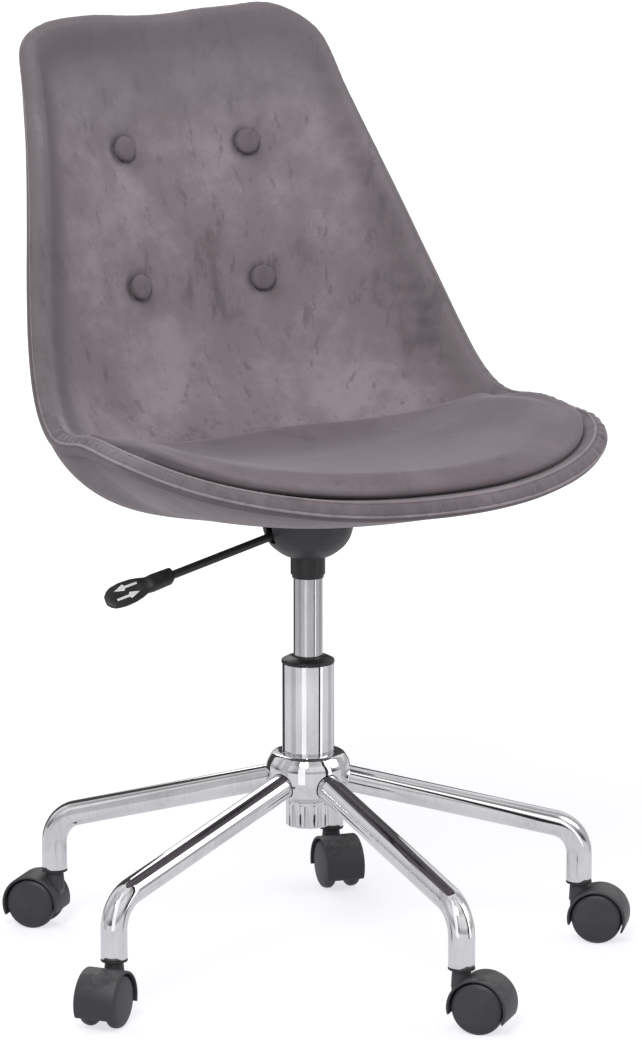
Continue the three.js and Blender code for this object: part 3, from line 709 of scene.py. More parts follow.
@dataclass(frozen=True)
class Metal:
    """A polished or ground metal finish."""

    name: str
    bright: Colour
    hazed: Colour
    low: float
    high: float
    rub: float = 260.0
    wave: float = 0.0004

    def make(self) -> bpy.types.Material:
        """Builds the material.

        Returns:
            The new material.
        """
        material, net, shader = shader_of(self.name)
        values = {
            "Bright": self.bright,
            "Hazed": self.hazed,
            "Low": self.low,
            "High": self.high,
            "Rub Scale": self.rub,
        }
        polish = placed(net, GROUPS.polish(), values)
        net.link(polish.outputs["Color"], shader.inputs["Base Color"])
        net.link(polish.outputs["Roughness"], shader.inputs["Roughness"])
        shader.inputs["Metallic"].default_value = 1.0
        add_bump(net, shader, polish.outputs["Height"], 0.15, self.wave)
        return material


@dataclass(frozen=True)
class Moulding:
    """A moulded plastic finish with fine grain, worn edges and a little dust."""

    name: str
    body: Colour
    worn: Colour
    gloss: float
    grain: float = 1600.0
    dust: float = 0.08
    bump: float = 0.12

    def make(self) -> bpy.types.Material:
        """Builds the material.

        Returns:
            The new material.
        """
        material, net, shader = shader_of(self.name)
        values = {"Body": self.body, "Worn": self.worn, "Grain Scale": self.grain, "Gloss": self.gloss}
        grain = placed(net, GROUPS.grain(), values)
        dust = placed(net, GROUPS.dust(), {"Color": grain.outputs["Color"], "Amount": self.dust})
        net.link(dust.outputs["Color"], shader.inputs["Base Color"])
        net.link(grain.outputs["Roughness"], shader.inputs["Roughness"])
        shader.inputs["Specular IOR Level"].default_value = 0.42
        add_bump(net, shader, grain.outputs["Height"], self.bump, 0.0003)
        return material


@dataclass(frozen=True)
class Velvet:
    """Brushed velvet pile; the rim attribute mixes in a painted darker, greener shade on the rolled edges and
    across the top of the back, and the shade attribute mixes in painted shade.
    """

    name: str
    middle: Colour
    raised: Colour
    flattened_and_shade: Colour
    # colour of the painted rim shade
    rim: Colour
    patch: float = 6.0
    pile: float = 950.0
    sheen: float = 0.35

    def make(self) -> bpy.types.Material:
        """Builds the material.

        Returns:
            The new material.
        """
        material, net, shader = shader_of(self.name)
        values = {
            "Middle": self.middle,
            "Raised": self.raised,
            "Flattened": self.flattened_and_shade,
            "Patch Scale": self.patch,
            "Pile Scale": self.pile,
        }
        pile = placed(net, GROUPS.pile(), values)
        # Painted shade: rim mixes toward the rim colour and shade toward the flattened colour, standing in
        # for shade on edges, creases and undersides.
        rim = net.node("ShaderNodeAttribute", attribute_name="rim").outputs["Fac"]
        shade = net.node("ShaderNodeAttribute", attribute_name="shade").outputs["Fac"]
        edged = net.mix(net.math("MULTIPLY", rim, 0.75), pile.outputs["Color"], self.rim)
        toned = net.mix(net.math("MULTIPLY", shade, 0.85), edged, self.flattened_and_shade)
        net.link(toned, shader.inputs["Base Color"])
        net.link(pile.outputs["Roughness"], shader.inputs["Roughness"])
        shader.inputs["Specular IOR Level"].default_value = 0.18
        shader.inputs["Sheen Weight"].default_value = self.sheen
        shader.inputs["Sheen Roughness"].default_value = 0.42
        shader.inputs["Sheen Tint"].default_value = (0.86, 0.8, 0.84, 1.0)
        add_bump(net, shader, pile.outputs["Height"], 0.22, 0.0012)
        return material


class Finish(Enum):
    """The finishes of the chair's pieces."""

    CHROME = Metal("chrome_plate", (0.74, 0.745, 0.76, 1), (0.62, 0.625, 0.64, 1), 0.02, 0.06)
    SPRING = Metal("ground_steel", (0.5, 0.5, 0.515, 1), (0.4, 0.4, 0.41, 1), 0.07, 0.16, 420.0)
    ZINC = Metal("zinc_plate", (0.58, 0.58, 0.57, 1), (0.42, 0.42, 0.41, 1), 0.3, 0.45)
    NYLON = Moulding("black_nylon", (0.012, 0.012, 0.013, 1), (0.045, 0.045, 0.048, 1), 0.3)
    HOUSING = Moulding("grey_housing", (0.03, 0.03, 0.033, 1), (0.07, 0.07, 0.075, 1), 0.34)
    CASTER = Moulding(
        "caster_plastic", (0.027, 0.027, 0.031, 1), (0.075, 0.075, 0.082, 1), 0.38, 1300.0, 0.12
    )
    BOARD = Moulding("shell_board", (0.02, 0.02, 0.02, 1), (0.05, 0.05, 0.05, 1), 0.5)
    MARK = Moulding("printed_mark", (0.72, 0.72, 0.72, 1), (0.6, 0.6, 0.6, 1), 0.35)
    # For each velvet, the third colour is both its flattened pile and its painted shade; the fourth is its
    # painted rim shade.
    FACE = Velvet(
        "velvet_face",
        (0.2, 0.166, 0.182, 1),
        (0.278, 0.237, 0.258, 1),
        (0.104, 0.087, 0.095, 1),
        (0.126, 0.114, 0.119, 1),
    )
    PAD = Velvet(
        "velvet_pad",
        (0.14, 0.115, 0.127, 1),
        (0.176, 0.148, 0.162, 1),
        (0.104, 0.085, 0.094, 1),
        (0.08, 0.067, 0.072, 1),
        4.0,
    )
    # Painted sheen: a lighter copy of the velvet for the seam cords, standing in for the sheen on their
    # crests.
    SEAM = Velvet(
        "velvet_seam_painted_sheen",
        (0.25, 0.218, 0.233, 1),
        (0.32, 0.28, 0.3, 1),
        (0.15, 0.13, 0.139, 1),
        (0.2, 0.178, 0.187, 1),
    )
    COVER = Velvet(
        "velvet_cover",
        (0.15, 0.133, 0.141, 1),
        (0.222, 0.197, 0.208, 1),
        (0.09, 0.077, 0.083, 1),
        (0.1, 0.084, 0.091, 1),
        7.0,
    )


class Dresser:
    """Gives pieces their material and body, and hides the frame nodes that they stand for."""

    def __init__(self) -> None:
        """Starts with no materials made."""
        self.made: dict[Finish, bpy.types.Material] = {}

    def material(self, finish: Finish) -> bpy.types.Material:
        """The finish's material, built once."""
        if finish not in self.made:
            self.made[finish] = finish.value.make()
        return self.made[finish]

    def dress(
        self,
        piece: bpy.types.Object,
        finish: Finish,
        body: str,
        slot: str,
        stands_for: Sequence[str] = (),
    ) -> bpy.types.Object:
        """Dresses a piece and ties it to its body.

        Args:
            piece: The object.
            finish: What it is made of.
            body: The body that it rides on.
            slot: Not used.
            stands_for: Frame nodes that it replaces.

        Returns:
            The same object.
        """
        piece.data.materials.clear()
        piece.data.materials.append(self.material(finish))
        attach(piece, body)
        if stands_for:
            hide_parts(*stands_for)
        LOG.info("%s rides on %s", piece.name, body)
        return piece

    def keep(self, node: str, finish: Finish) -> None:
        """Gives a kept frame node its material.

        Args:
            node: The frame node.
            finish: What it is made of.
        """
        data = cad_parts[node].data
        data.materials.clear()
        data.materials.append(self.material(finish))
        LOG.info("%s keeps its solid", node)


# ------------------------------------------------------------------ upholstery
@dataclass
class SeatSurface:
    """The sitting surface: a centre line from front edge to top edge, and how its sides rise."""

    front: float = -0.211
    top: float = 0.617
    spine_y: float = -0.0367
    spine_z: float = 0.4717
    pitch: float = -6.0
    bend_start: float = 0.024
    bend_length: float = 0.305
    bend: float = 84.4
    lip: float = 10.0
    lip_length: float = 0.05
    lean: float = -5.0
    lean_length: float = 0.3
    curl_start: float = -0.068
    curl_length: float = 0.325
    seat_half: float = 0.25
    back_half: float = 0.164
    taper_start: float = 0.11
    taper_end: float = 0.651
    front_round: float = 0.143
    front_power: float = 2.04
    top_power: float = 3.1
    side_power: float = 2.56
    rises: tuple[tuple[float, float], ...] = (
        (-0.211, 0.035),
        (-0.101, 0.049),
        (0.06, 0.077),
        (0.2, 0.105),
        (0.38, 0.066),
        (0.617, 0.004),
    )

    def __post_init__(self) -> None:
        """Runs the centre line in one-millimetre steps."""
        step = 0.001
        self.marks = np.arange(self.front - 0.02, self.top + 0.02, step)
        slope = self.slope(self.marks + step / 2)
        y = np.concatenate([[0.0], np.cumsum(np.cos(slope) * step)])[:-1]
        z = np.concatenate([[0.0], np.cumsum(np.sin(slope) * step)])[:-1]
        self.line_y = y - np.interp(0.0, self.marks, y) + self.spine_y
        self.line_z = z - np.interp(0.0, self.marks, z) + self.spine_z

    def slope(self, a: Array) -> Array:
        """Slope of the centre line in radians.

        Args:
            a: Place along it.

        Returns:
            The slope at each place.
        """
        bend = self.bend * smooth_step((a - self.bend_start) / self.bend_length)
        lip = self.lip * (1.0 - smooth_step((a - self.front) / self.lip_length))
        lean = self.lean * smooth_step((a - self.top + self.lean_length) / self.lean_length)
        return np.radians(self.pitch + bend + lip + lean)

    def side_rise(self, a: Array) -> Array:
        """How far the side edge stands above the centre line.

        Args:
            a: Place along the centre line.

        Returns:
            The rise at each place.
        """
        at = np.clip(a, self.rises[0][0], self.rises[-1][0])
        xs = np.array([r[0] for r in self.rises])
        ys = np.array([r[1] for r in self.rises])
        low = np.maximum(np.arange(len(xs)) - 1, 0)
        high = np.minimum(np.arange(len(xs)) + 1, len(xs) - 1)
        slopes = (ys[high] - ys[low]) / (xs[high] - xs[low])
        i = np.clip(np.searchsorted(xs, at, side="left") - 1, 0, len(xs) - 2)
        span = xs[i + 1] - xs[i]
        t = (at - xs[i]) / span
        bow = slopes[i] * span * t * (1 - t) ** 2 - slopes[i + 1] * span * t * t * (1 - t)
        return ys[i] + (ys[i + 1] - ys[i]) * smooth_step(t) + bow

    def half_width(self, a: Array) -> Array:
        """Half width between the side edges."""
        share = smooth_step((a - self.taper_start) / (self.taper_end - self.taper_start))
        return self.seat_half + (self.back_half - self.seat_half) * share

    def point(self, a: Array, x: Array) -> Array:
        """Points of the surface.

        Args:
            a: Place along the centre line.
            x: Place across it.

        Returns:
            The points, in rows.
        """
        y = np.interp(a, self.marks, self.line_y)
        z = np.interp(a, self.marks, self.line_z)
        rise = self.side_rise(a) * np.abs(x / self.half_width(a)) ** self.side_power
        turn = np.radians(self.pitch + self.bend * smooth_step((a - self.curl_start) / self.curl_length))
        return np.stack([x + 0.0 * a, y - np.sin(turn) * rise, z + np.cos(turn) * rise], -1)

    def normal(self, a: Array, x: Array) -> Array:
        """Unit normals on the sitter's side.

        Args:
            a: Place along the centre line.
            x: Place across it.

        Returns:
            The normals, in rows.
        """
        e = 0.001
        across = self.point(a, x + e) - self.point(a, x - e)
        along = self.point(a + e, x) - self.point(a - e, x)
        n = np.cross(across, along)
        return n / np.linalg.norm(n, axis=-1)[..., None]

    def above(self, a: Array, x: Array, height: Array) -> Array:
        """Points at a height above the surface."""
        return self.point(a, x) + self.normal(a, x) * np.asarray(height)[..., None]

    def level(self, place: Array, height: float) -> Array:
        """Points at one height above the surface, at (along, across) places."""
        return self.above(place[:, 0], place[:, 1], np.full(len(place), height))

    def outline(
        self, start: float, stop: float, narrow: float, rear_round: float, count: int
    ) -> tuple[Array, Array]:
        """Evenly spaced edge points of a panel and their outward directions.

        Args:
            start: Front end along the centre line.
            stop: Rear or top end along the centre line.
            narrow: How much narrower each side is than the shell.
            rear_round: Length of the rounding at the rear or top.
            count: Number of points round the edge.

        Returns:
            The (along, across) points and the unit directions out of the panel.
        """
        t = np.linspace(0.0, math.pi, 3000)
        a = start + (stop - start) * (1 - np.cos(t)) / 2
        ahead = np.clip((start + self.front_round - a) / self.front_round, 0, 1)
        behind = np.clip((a - stop + rear_round) / rear_round, 0, 1)
        ends = (1 - ahead**self.front_power) ** (1 / self.front_power)
        ends = ends * (1 - behind**self.top_power) ** (1 / self.top_power)
        x = (self.half_width(a) - narrow) * ends
        loop = np.vstack([np.column_stack([a, x]), np.column_stack([a, -x])[-2:0:-1]])
        gaps = np.linalg.norm(np.roll(loop, -1, 0) - loop, axis=1)
        run = np.concatenate([[0.0], np.cumsum(gaps)])
        at = np.arange(count) * run[-1] / count
        closed = np.vstack([loop, loop[:1]])
        edge = np.column_stack([np.interp(at, run, closed[:, k]) for k in (0, 1)])
        tangent = np.roll(edge, -1, 0) - np.roll(edge, 1, 0)
        out = np.column_stack([tangent[:, 1], -tangent[:, 0]])
        out /= np.linalg.norm(out, axis=1)[:, None]
        centre = edge.mean(0)
        if np.sum((edge - centre) * out) < 0:
            out = -out
        return edge, out


@dataclass
class Upholstery:
    """Padded shell: front padding, outer cover, edge seam, buttons and the boss under the seat."""

    surface: SeatSurface
    dresser: Dresser
    around: int = 900
    face_rings: int = 79
    roll_rings: int = 20
    under_rings: int = 13
    cover_rings: int = 71
    lining_rings: int = 31
    crowding: float = 1.35
    fan_centre: float = 0.145
    edge_inset: float = 0.0085
    edge_half: float = 0.0098
    edge_drop: float = 0.0076
    edge_tall: float = 0.0092
    rim_depth: float = 0.0164
    middle_depth: float = 0.034
    seam_angle: float = -14.0
    corner_round: float = 0.056
    top_sag: float = 0.0105
    button_drops: tuple[float, float] = (0.142, 0.278)
    button_side: float = 0.069
    button_radius: float = 0.0124
    button_height: float = 0.0062
    button_turn: float = math.radians(11.0)
    dimple: float = 0.0062
    boss_radius: float = 0.0435
    boss_bottom: float = 0.432
    boss_top: float = 0.447

    def __post_init__(self) -> None:
        """Lays out the edge and the button places."""
        s = self.surface
        self.edge, self.out = s.outline(s.front, s.top, 0.0, self.corner_round, self.around)
        high = smooth_step((self.edge[:, 0] - 0.47) / 0.12)
        x = self.edge[:, 1]
        sag = self.top_sag * hump(x, -0.02, 0.085) - 0.005 * hump(x, 0.12, 0.03)
        self.edge[:, 0] -= high * sag
        self.inner = self.edge - self.out * self.edge_inset
        self.centre = np.array([self.fan_centre, 0.0])
        self.reach = np.linalg.norm(self.inner - self.centre, axis=1)
        e = 0.0015
        lifted = s.point(*(self.edge).T)
        outward = lifted - s.point(*(self.edge - self.out * e).T)
        self.side = outward / np.linalg.norm(outward, axis=1)[:, None]
        self.up = s.normal(*(self.edge - self.out * e).T)
        gaps = np.linalg.norm(np.roll(lifted, -1, 0) - lifted, axis=1)
        self.run = np.concatenate([[0.0], np.cumsum(gaps)[:-1]])
        self.length = float(gaps.sum())
        self.on_seat = 1.0 - smooth_step((self.edge[:, 0] - 0.12) / 0.16)
        self.buttons = [(s.top - d, side * self.button_side) for d in self.button_drops for side in (-1, 1)]

    def swell(self, a: Array, x: Array, edge_gap: Array) -> Array:
        """Soft height of the padding above the plain surface.

        Args:
            a: Place along the centre line.
            x: Place across it.
            edge_gap: Distance to the shell's edge.

        Returns:
            The height, positive toward the sitter.
        """
        height = 0.0012 * smooth_step(edge_gap / 0.03) + 0.0015 * hump(edge_gap, 0.0085, 0.009)
        leaning = smooth_step((a - 0.05) / 0.2)
        height = height - 0.0024 * hump(edge_gap, 0.026, 0.011) * leaning
        pull = np.sin(2 * math.pi * a / 0.023 + 2.6 * np.sin(37.0 * a + 9.0 * x))
        pull = pull * (0.35 + 0.65 * smooth_step(x / 0.1))
        height = height + 0.0006 * pull * hump(edge_gap, 0.023, 0.011) * leaning
        for ba, bx in self.buttons:
            away = np.hypot(a - ba, x - bx)
            height = height - self.dimple * hump(away, 0.0, 0.0165) - 0.003 * hump(away, 0.0, 0.046)
            angle = np.arctan2(a - ba, x - bx)
            folds = np.cos(5.0 * angle + 40.0 * ba) + 0.6 * np.cos(8.0 * angle + 70.0 * bx)
            height = height + 0.0005 * folds * hump(away, 0.021, 0.012)
        slow = np.sin(31.0 * a + 17.0 * x) * np.sin(23.0 * x - 11.0 * a + 1.3)
        return height + 0.0006 * slow * smooth_step(edge_gap / 0.04)

    def button_shade(self, place: Array) -> Array:
        """Painted shadow round the buttons: a dark ring at each button's edge, partly pile pressed by the
        button and partly painted shade in the crease, and a painted cast shadow below the button and to its
        +X side.

        Args:
            place: (along, across) places.

        Returns:
            The share at each place.
        """
        shade = np.zeros(len(place))
        for ba, bx in self.buttons:
            away = np.hypot(place[:, 0] - ba, place[:, 1] - bx)
            # Dark ring at the edge: pressed pile and painted crease shade.
            shade = np.maximum(shade, 0.95 * hump(away, self.button_radius, 0.0035))
            # Painted cast shadow, below the button and to its +X side.
            beside = np.hypot(place[:, 0] - ba + 0.013, place[:, 1] - bx - 0.008)
            shade = np.maximum(shade, 0.75 * hump(beside, 0.0, 0.013))
        return shade

    def roll(self, degrees: float, puff: Array | float = 0.0) -> Array:
        """Points of the rolled edge at one angle of its section.

        Args:
            degrees: The angle, from the rim outward to the sitter's side.
            puff: How much fuller the roll is.

        Returns:
            A ring of points.
        """
        turn = math.radians(degrees)
        out = -self.edge_inset + (self.edge_half + puff) * math.cos(turn)
        lift = -self.edge_drop + (self.edge_tall + puff) * math.sin(turn)
        base = self.surface.point(*self.edge.T)
        return base + self.side * np.reshape(out, (-1, 1)) + self.up * np.reshape(lift, (-1, 1))

    def gathers(self, degrees: float) -> Array:
        """Small creases across the rolled edge where the seat's cover is drawn in.

        Args:
            degrees: Angle on the roll's section.

        Returns:
            The creases' height round the edge.
        """
        share = self.run / self.length
        fine = ripple(share, [(151, 0.4, 0.5), (189, 2.1, 0.4), (118, 5.0, 0.35), (227, 1.1, 0.25)])
        bunch = 0.35 + 0.65 * smooth_step(0.5 + ripple(share, [(9, 0.3, 0.5), (17, 1.9, 0.4)]))
        band = hump(degrees, 20.0, 27.0)
        soft = 0.0003 * ripple(share, [(23, 0.2, 1.0), (37, 2.2, 0.7)]) * hump(degrees, 10.0, 60.0)
        return 0.0017 * fine * bunch * band * (0.15 + 0.85 * self.on_seat) + soft

    def build_face(self) -> None:
        """The padding that the sitter leans on, rolled round the shell's edge."""
        rings, rims, shades = [], [], []
        back = smooth_step((self.edge[:, 0] - 0.02) / 0.2)
        left = 0.45 + 0.55 * smooth_step(-self.edge[:, 1] / 0.12)
        for share in crowded(np.linspace(0.0, 1.0, self.face_rings), self.crowding):
            place = fanned(self.centre, self.inner, share)
            a, x = place.T
            gap = self.edge_inset + (1.0 - share) * self.reach * 0.85
            rings.append(self.surface.above(a, x, self.swell(a, x, gap[: len(place)])))
            # Painted shade: a dark band about 27 mm inside the edge, strongest on the back's -X side, and a
            # painted greener rim shade across the top of the back and within about 3 cm of the edge.
            band = hump(gap, 0.027, 0.017) * back * left
            tone_mask = smooth_step((a - 0.44) / 0.13) * (0.9 - 0.1 * smooth_step(x / 0.1 + 0.3))
            rims.append(np.maximum(tone_mask, 0.35 * smooth_step((0.03 - gap) / 0.02))[: len(place)])
            shades.append(np.maximum(band, self.button_shade(place))[: len(place)])
        edge_rim = rims[-1]
        for degrees in (*np.linspace(86.0, -10.0, self.roll_rings), self.seam_angle):
            ridge = 0.0011 * hump(degrees, 74.0, 5.0) - 0.0009 * hump(degrees, 62.0, 5.0)
            drawn = self.gathers(degrees)
            rings.append(self.roll(degrees, drawn + ridge * self.on_seat))
            # Painted rim shade grows as the roll turns away from the sitter's side and mostly fades on the
            # seat; painted shade fills the gathers' valleys and the seat's roll below its upper ridge.
            turned_away = float(smooth_step(np.array((84.0 - degrees) / 60.0)))
            rims.append(np.maximum(edge_rim, turned_away) * (1.0 - 0.7 * self.on_seat))
            valley = np.clip(-drawn / 0.0011, 0.0, 1.0) * 0.8
            shades.append(np.maximum(valley, 0.5 if degrees < 70.0 else 0.0) * self.on_seat)
        for share in np.linspace(1.0, 0.0, self.under_rings):
            place = fanned(self.centre, self.inner, share)
            rings.append(self.surface.level(place, -0.0094 - 0.0044 * (1.0 - share**4)))
            rims.append(0.0)
            shades.append(0.0)
        piece = shown("back_and_seat_padding", loft(rings), 70.0)
        paint(piece, rings, rims, shades)
        self.dresser.dress(piece, Finish.FACE, "seat", "velvet", ["inner_upholstery"])

    def build_cover(self) -> None:
        """The thinner padded cover on the shell's outside."""
        s = self.surface
        rings, rims = [], []
        # Painted shade: the cover's roll takes the full darker rim colour, fading out within about 3 cm of
        # the edge.
        for degrees in (self.seam_angle - 3, -24, -34, -46, -58, -70, -80):
            rings.append(self.roll(degrees, self.gathers(degrees) * 0.6 + 0.0003))
            rims.append(1.0)
        for share in crowded(np.linspace(1.0, 0.0, self.cover_rings), self.crowding):
            a, x = fanned(self.centre, self.inner, share).T
            depth = self.rim_depth + (self.middle_depth - self.rim_depth) * (1.0 - share**5)
            fuller = 0.0065 * hump(a, 0.11, 0.1) * smooth_step((np.abs(x) - 0.09) / 0.1) * (1.0 - share**9)
            slow = 0.0007 * np.sin(29.0 * a - 13.0 * x) * np.sin(19.0 * x + 17.0 * a) * (1.0 - share**6)
            rings.append(s.above(a, x, -(depth + fuller + slow)))
            gap = (1.0 - share) * self.reach[: len(a)] + 0.0085
            rims.append(hump(gap, 0.0, 0.03))
        for share in np.linspace(0.0, 1.0, self.lining_rings):
            place = fanned(self.centre, self.inner, share)
            rings.append(s.level(place, -0.0118 - 0.0085 * (1.0 - share**4)))
            rims.append(0.0)
        piece = shown("outer_cover", loft(rings, closed=True), 70.0)
        paint(piece, rings, rims, [0.0] * len(rings))
        self.dresser.dress(piece, Finish.COVER, "seat", "velvet_back", ["outer_upholstery"])

    def build_boss(self) -> None:
        """Flat round boss between the shell and the mechanism."""
        boss = shown("seat_boss", turned(eased([
            (0.0, self.boss_bottom, 0),
            (self.boss_radius, self.boss_bottom, 0.002),
            (self.boss_radius, self.boss_top, 0.001),
            (0.0, self.boss_top, 0),
        ], False), 96, False))
        self.dresser.dress(boss, Finish.BOARD, "seat", "hard_shell")

    def build_seam(self, name: str, degrees: float, sunk: float, thin: float) -> None:
        """Corded seam round the rolled edge.

        Args:
            name: The piece's name.
            degrees: Where it lies on the roll's section.
            sunk: How far it sinks into the roll along the back.
            thin: Radius of the cord along the back.
        """
        line = self.roll(degrees, 0.0003 - sunk * (1.0 - self.on_seat))
        rings = []
        thick = thin + (0.0013 - thin) * self.on_seat
        wave = 1.0 + 0.12 * ripple(self.run / self.length, [(300, 0.0, 0.6), (211, 1.0, 0.4)])
        for turn in whole_turn(12):
            size = (thick * wave)[:, None]
            rings.append(line + self.side * size * math.cos(turn) + self.up * size * math.sin(turn))
        piece = shown(name, loft(rings, closed=True), 70.0)
        # A little painted rim shade on the cord; its lighter velvet is painted sheen.
        paint(piece, rings, [0.3] * len(rings), [0.0] * len(rings))
        self.dresser.dress(piece, Finish.SEAM, "seat", "velvet")

    def along(self, a: float) -> Vector:
        """Direction of the centre line at a place along it."""
        here, ahead = self.surface.point(np.array([a, a + 0.001]), np.zeros(2))
        return Vector(ahead - here).normalized()

    def build_buttons(self) -> None:
        """Fabric-covered buttons drawn into the back."""
        r, t = self.button_radius, self.button_height
        section = eased([
            (0.0, -0.002, 0),
            (r * 0.82, -0.002, 0.001),
            (r * 0.97, 0.0006, 0.001),
            (r, t * 0.34, 0.0016),
            (r * 0.9, t * 0.78, 0.003),
            (r * 0.5, t * 0.97, 0.004),
            (0.0, t, 0),
        ], False, 6)
        for count, (a, x) in enumerate(self.buttons, 1):
            verts, faces = turned(section, 96, False)
            angle = np.arctan2(verts[:, 1], verts[:, 0])
            span = np.hypot(verts[:, 0], verts[:, 1])
            pleat = 1.0 + 0.014 * np.cos(17.0 * angle + count) * smooth_step(span / r * 1.6 - 0.8)
            verts = verts * np.column_stack([pleat, pleat, np.ones(len(verts))])
            at, across = np.array([a]), np.array([x])
            up = Vector(self.surface.normal(at, across)[0])
            seat = Vector(self.surface.above(at, across, np.array([-0.0025]))[0])
            turn = up.to_track_quat("Z", "Y").to_matrix().to_4x4()
            tilt = self.button_turn * (1.0 if x < 0 else 0.4)
            lean = Matrix.Rotation(-math.copysign(tilt, x), 4, self.along(a))
            shell = moved((verts, faces), Matrix.Translation(seat) @ lean @ turn)
            piece = shown(f"covered_button_{count}", shell, 70.0)
            self.dresser.dress(piece, Finish.PAD, "seat", "velvet", [f"tuft_button_{count}"])

    def build(self) -> None:
        """Builds every piece of the shell's upholstery."""
        self.build_face()
        self.build_cover()
        self.build_boss()
        self.build_seam("edge_seam", self.seam_angle - 1.5, 0.0, 0.0006)
        self.build_seam("inner_seam", 75.0, 0.0022, 0.0003)
        self.build_buttons()
        self.dresser.keep("seat_shell", Finish.BOARD)


@dataclass
class SeatPad:
    """Loose-looking seat pad that lies in the shell."""

    surface: SeatSurface
    dresser: Dresser
    around: int = 240
    front: float = -0.197
    rear: float = 0.158
    narrow: float = 0.024
    rear_round: float = 0.046
    centre: float = -0.02
    clear: float = 0.0027
    thickness: float = 0.0195
    edge_top: float = 0.0165
    roll_inset: float = 0.0075
    side_shift: float = 0.0145
    rear_swell: float = 0.014
    top_rings: int = 27
    side_angles: tuple[int, ...] = (60, 32, 8, -14, -36, -60, -90)
    under_shares: tuple[float, ...] = (0.97, 0.88, 0.74, 0.56, 0.36, 0.16, 0.0)
    fill_steps: int = 20
    pressure: float = 4.0
    most_move: float = 0.0065
    seam_depth: float = 0.0016
    crease_height: float = 0.0003

    def rings(self) -> tuple[list[Array], list[bool]]:
        """Rings of the pad from the middle of its top to the middle of its underside.

        Returns:
            The rings, and for each whether it is held while the pad is filled.
        """
        s = self.surface
        edge, out = s.outline(self.front, self.rear, self.narrow, self.rear_round, self.around)
        a, x = edge[:, 0].copy(), edge[:, 1].copy()
        near_side = smooth_step(-x / 0.1) * hump(a, 0.035, 0.065)
        far_side = smooth_step(x / 0.12) * (1.0 - 0.85 * smooth_step((a + 0.02) / 0.1))
        edge[:, 1] += self.side_shift * (far_side + 0.95 * near_side)
        edge[:, 0] += self.rear_swell * smooth_step((a - 0.08) / 0.07) * hump(x, 0.04, 0.11)
        inner = edge - out * self.roll_inset
        middle = np.array([self.centre, 0.0])
        rings, held = [], []
        for share in crowded(np.linspace(0.0, 1.0, self.top_rings), 1.25):
            top = self.edge_top + (self.thickness - self.edge_top) * (1.0 - share**3)
            rings.append(s.level(fanned(middle, inner, share), top))
            held.append(False)
        half = (self.edge_top - self.clear) / 2
        for degrees in self.side_angles:
            turn = math.radians(degrees)
            place = inner + out * self.roll_inset * math.cos(turn)
            rings.append(s.level(place, self.clear + half * (1 + math.sin(turn))))
            held.append(degrees < 0)
        for share in self.under_shares:
            rings.append(s.level(fanned(middle, inner, share), self.clear))
            held.append(True)
        return rings, held

    def evened(self, shift: Array, sizes: Array) -> Array:
        """Takes short buckles out of the filling's shift.

        Args:
            shift: Shift of each vertex.
            sizes: Index of each ring's first vertex.

        Returns:
            The shift, averaged along each ring.
        """
        calm = shift.copy()
        for start, stop in zip(sizes[:-1], sizes[1:]):
            row = shift[start:stop]
            if len(row) > 1:
                calm[start:stop] = np.mean([np.roll(row, k, 0) for k in range(-7, 8)], axis=0)
        return calm

    def fill(self, piece: bpy.types.Object, weights: Array, sizes: Array) -> None:
        """Inflates the pad's top as cloth, and keeps the result.

        Args:
            piece: The pad.
            weights: 1 for vertices that are held, 0 for free ones.
            sizes: Index of each ring's first vertex.
        """
        rest = points_of(piece)
        group = piece.vertex_groups.new(name="held")
        for i in np.nonzero(weights > 0.5)[0]:
            group.add([int(i)], 1.0, "REPLACE")
        cloth = piece.modifiers.new("fill", "CLOTH")
        cloth.settings.use_pressure = True
        cloth.settings.uniform_pressure_force = self.pressure
        cloth.settings.vertex_group_mass = "held"
        cloth.settings.quality = 5
        cloth.settings.mass = 0.3
        cloth.settings.tension_stiffness = 12.0
        cloth.settings.compression_stiffness = 12.0
        cloth.settings.bending_stiffness = 0.8
        cloth.settings.effector_weights.gravity = 0.0
        cloth.collision_settings.use_collision = False
        scene = bpy.context.scene
        for step in range(1, self.fill_steps + 1):
            scene.frame_set(step)
        settle(piece)
        scene.frame_set(1)
        shift = points_of(piece) - rest
        far = np.linalg.norm(shift, axis=1)[:, None]
        shift *= np.minimum(1.0, self.most_move / np.maximum(far, 1e-9))
        shift[weights > 0.5] = 0.0
        shift = self.evened(shift, sizes)
        set_points(piece, rest + shift)
        piece.vertex_groups.clear()

    def draw_in(self, piece: bpy.types.Object, seam: int, sizes: Array) -> None:
        """Sinks the pad's seam and creases the cover above it.

        Args:
            piece: The pad.
            seam: Index of the seam's ring.
            sizes: Index of each ring's first vertex.
        """
        points = points_of(piece)
        normals = np.array([v.normal for v in piece.data.vertices])
        row = slice(int(sizes[seam]), int(sizes[seam + 1]))
        points[row] -= normals[row] * self.seam_depth
        share = np.arange(self.around) / self.around
        creases = ripple(share, [(83, 0.2, 0.5), (61, 1.4, 0.5), (47, 3.0, 0.4)])
        bunch = smooth_step(0.5 + ripple(share, [(5, 0.0, 0.5), (11, 2.0, 0.4)]))
        for k in (seam - 3, seam - 2, seam - 1):
            row = slice(int(sizes[k]), int(sizes[k + 1]))
            points[row] += normals[row] * (self.crease_height * creases * bunch)[:, None]
        set_points(piece, points)

    def build(self) -> None:
        """Builds, fills and dresses the pad."""
        rings, held = self.rings()
        piece = shown("seat_pad", loft(rings), 80.0)
        weights = np.concatenate([np.full(len(r), float(h)) for r, h in zip(rings, held)])
        sizes = np.cumsum([0] + [len(r) for r in rings])
        self.fill(piece, weights, sizes)
        self.draw_in(piece, len(rings) - len(self.under_shares) - 4, sizes)
        first = len(rings) - len(self.under_shares) - len(self.side_angles)
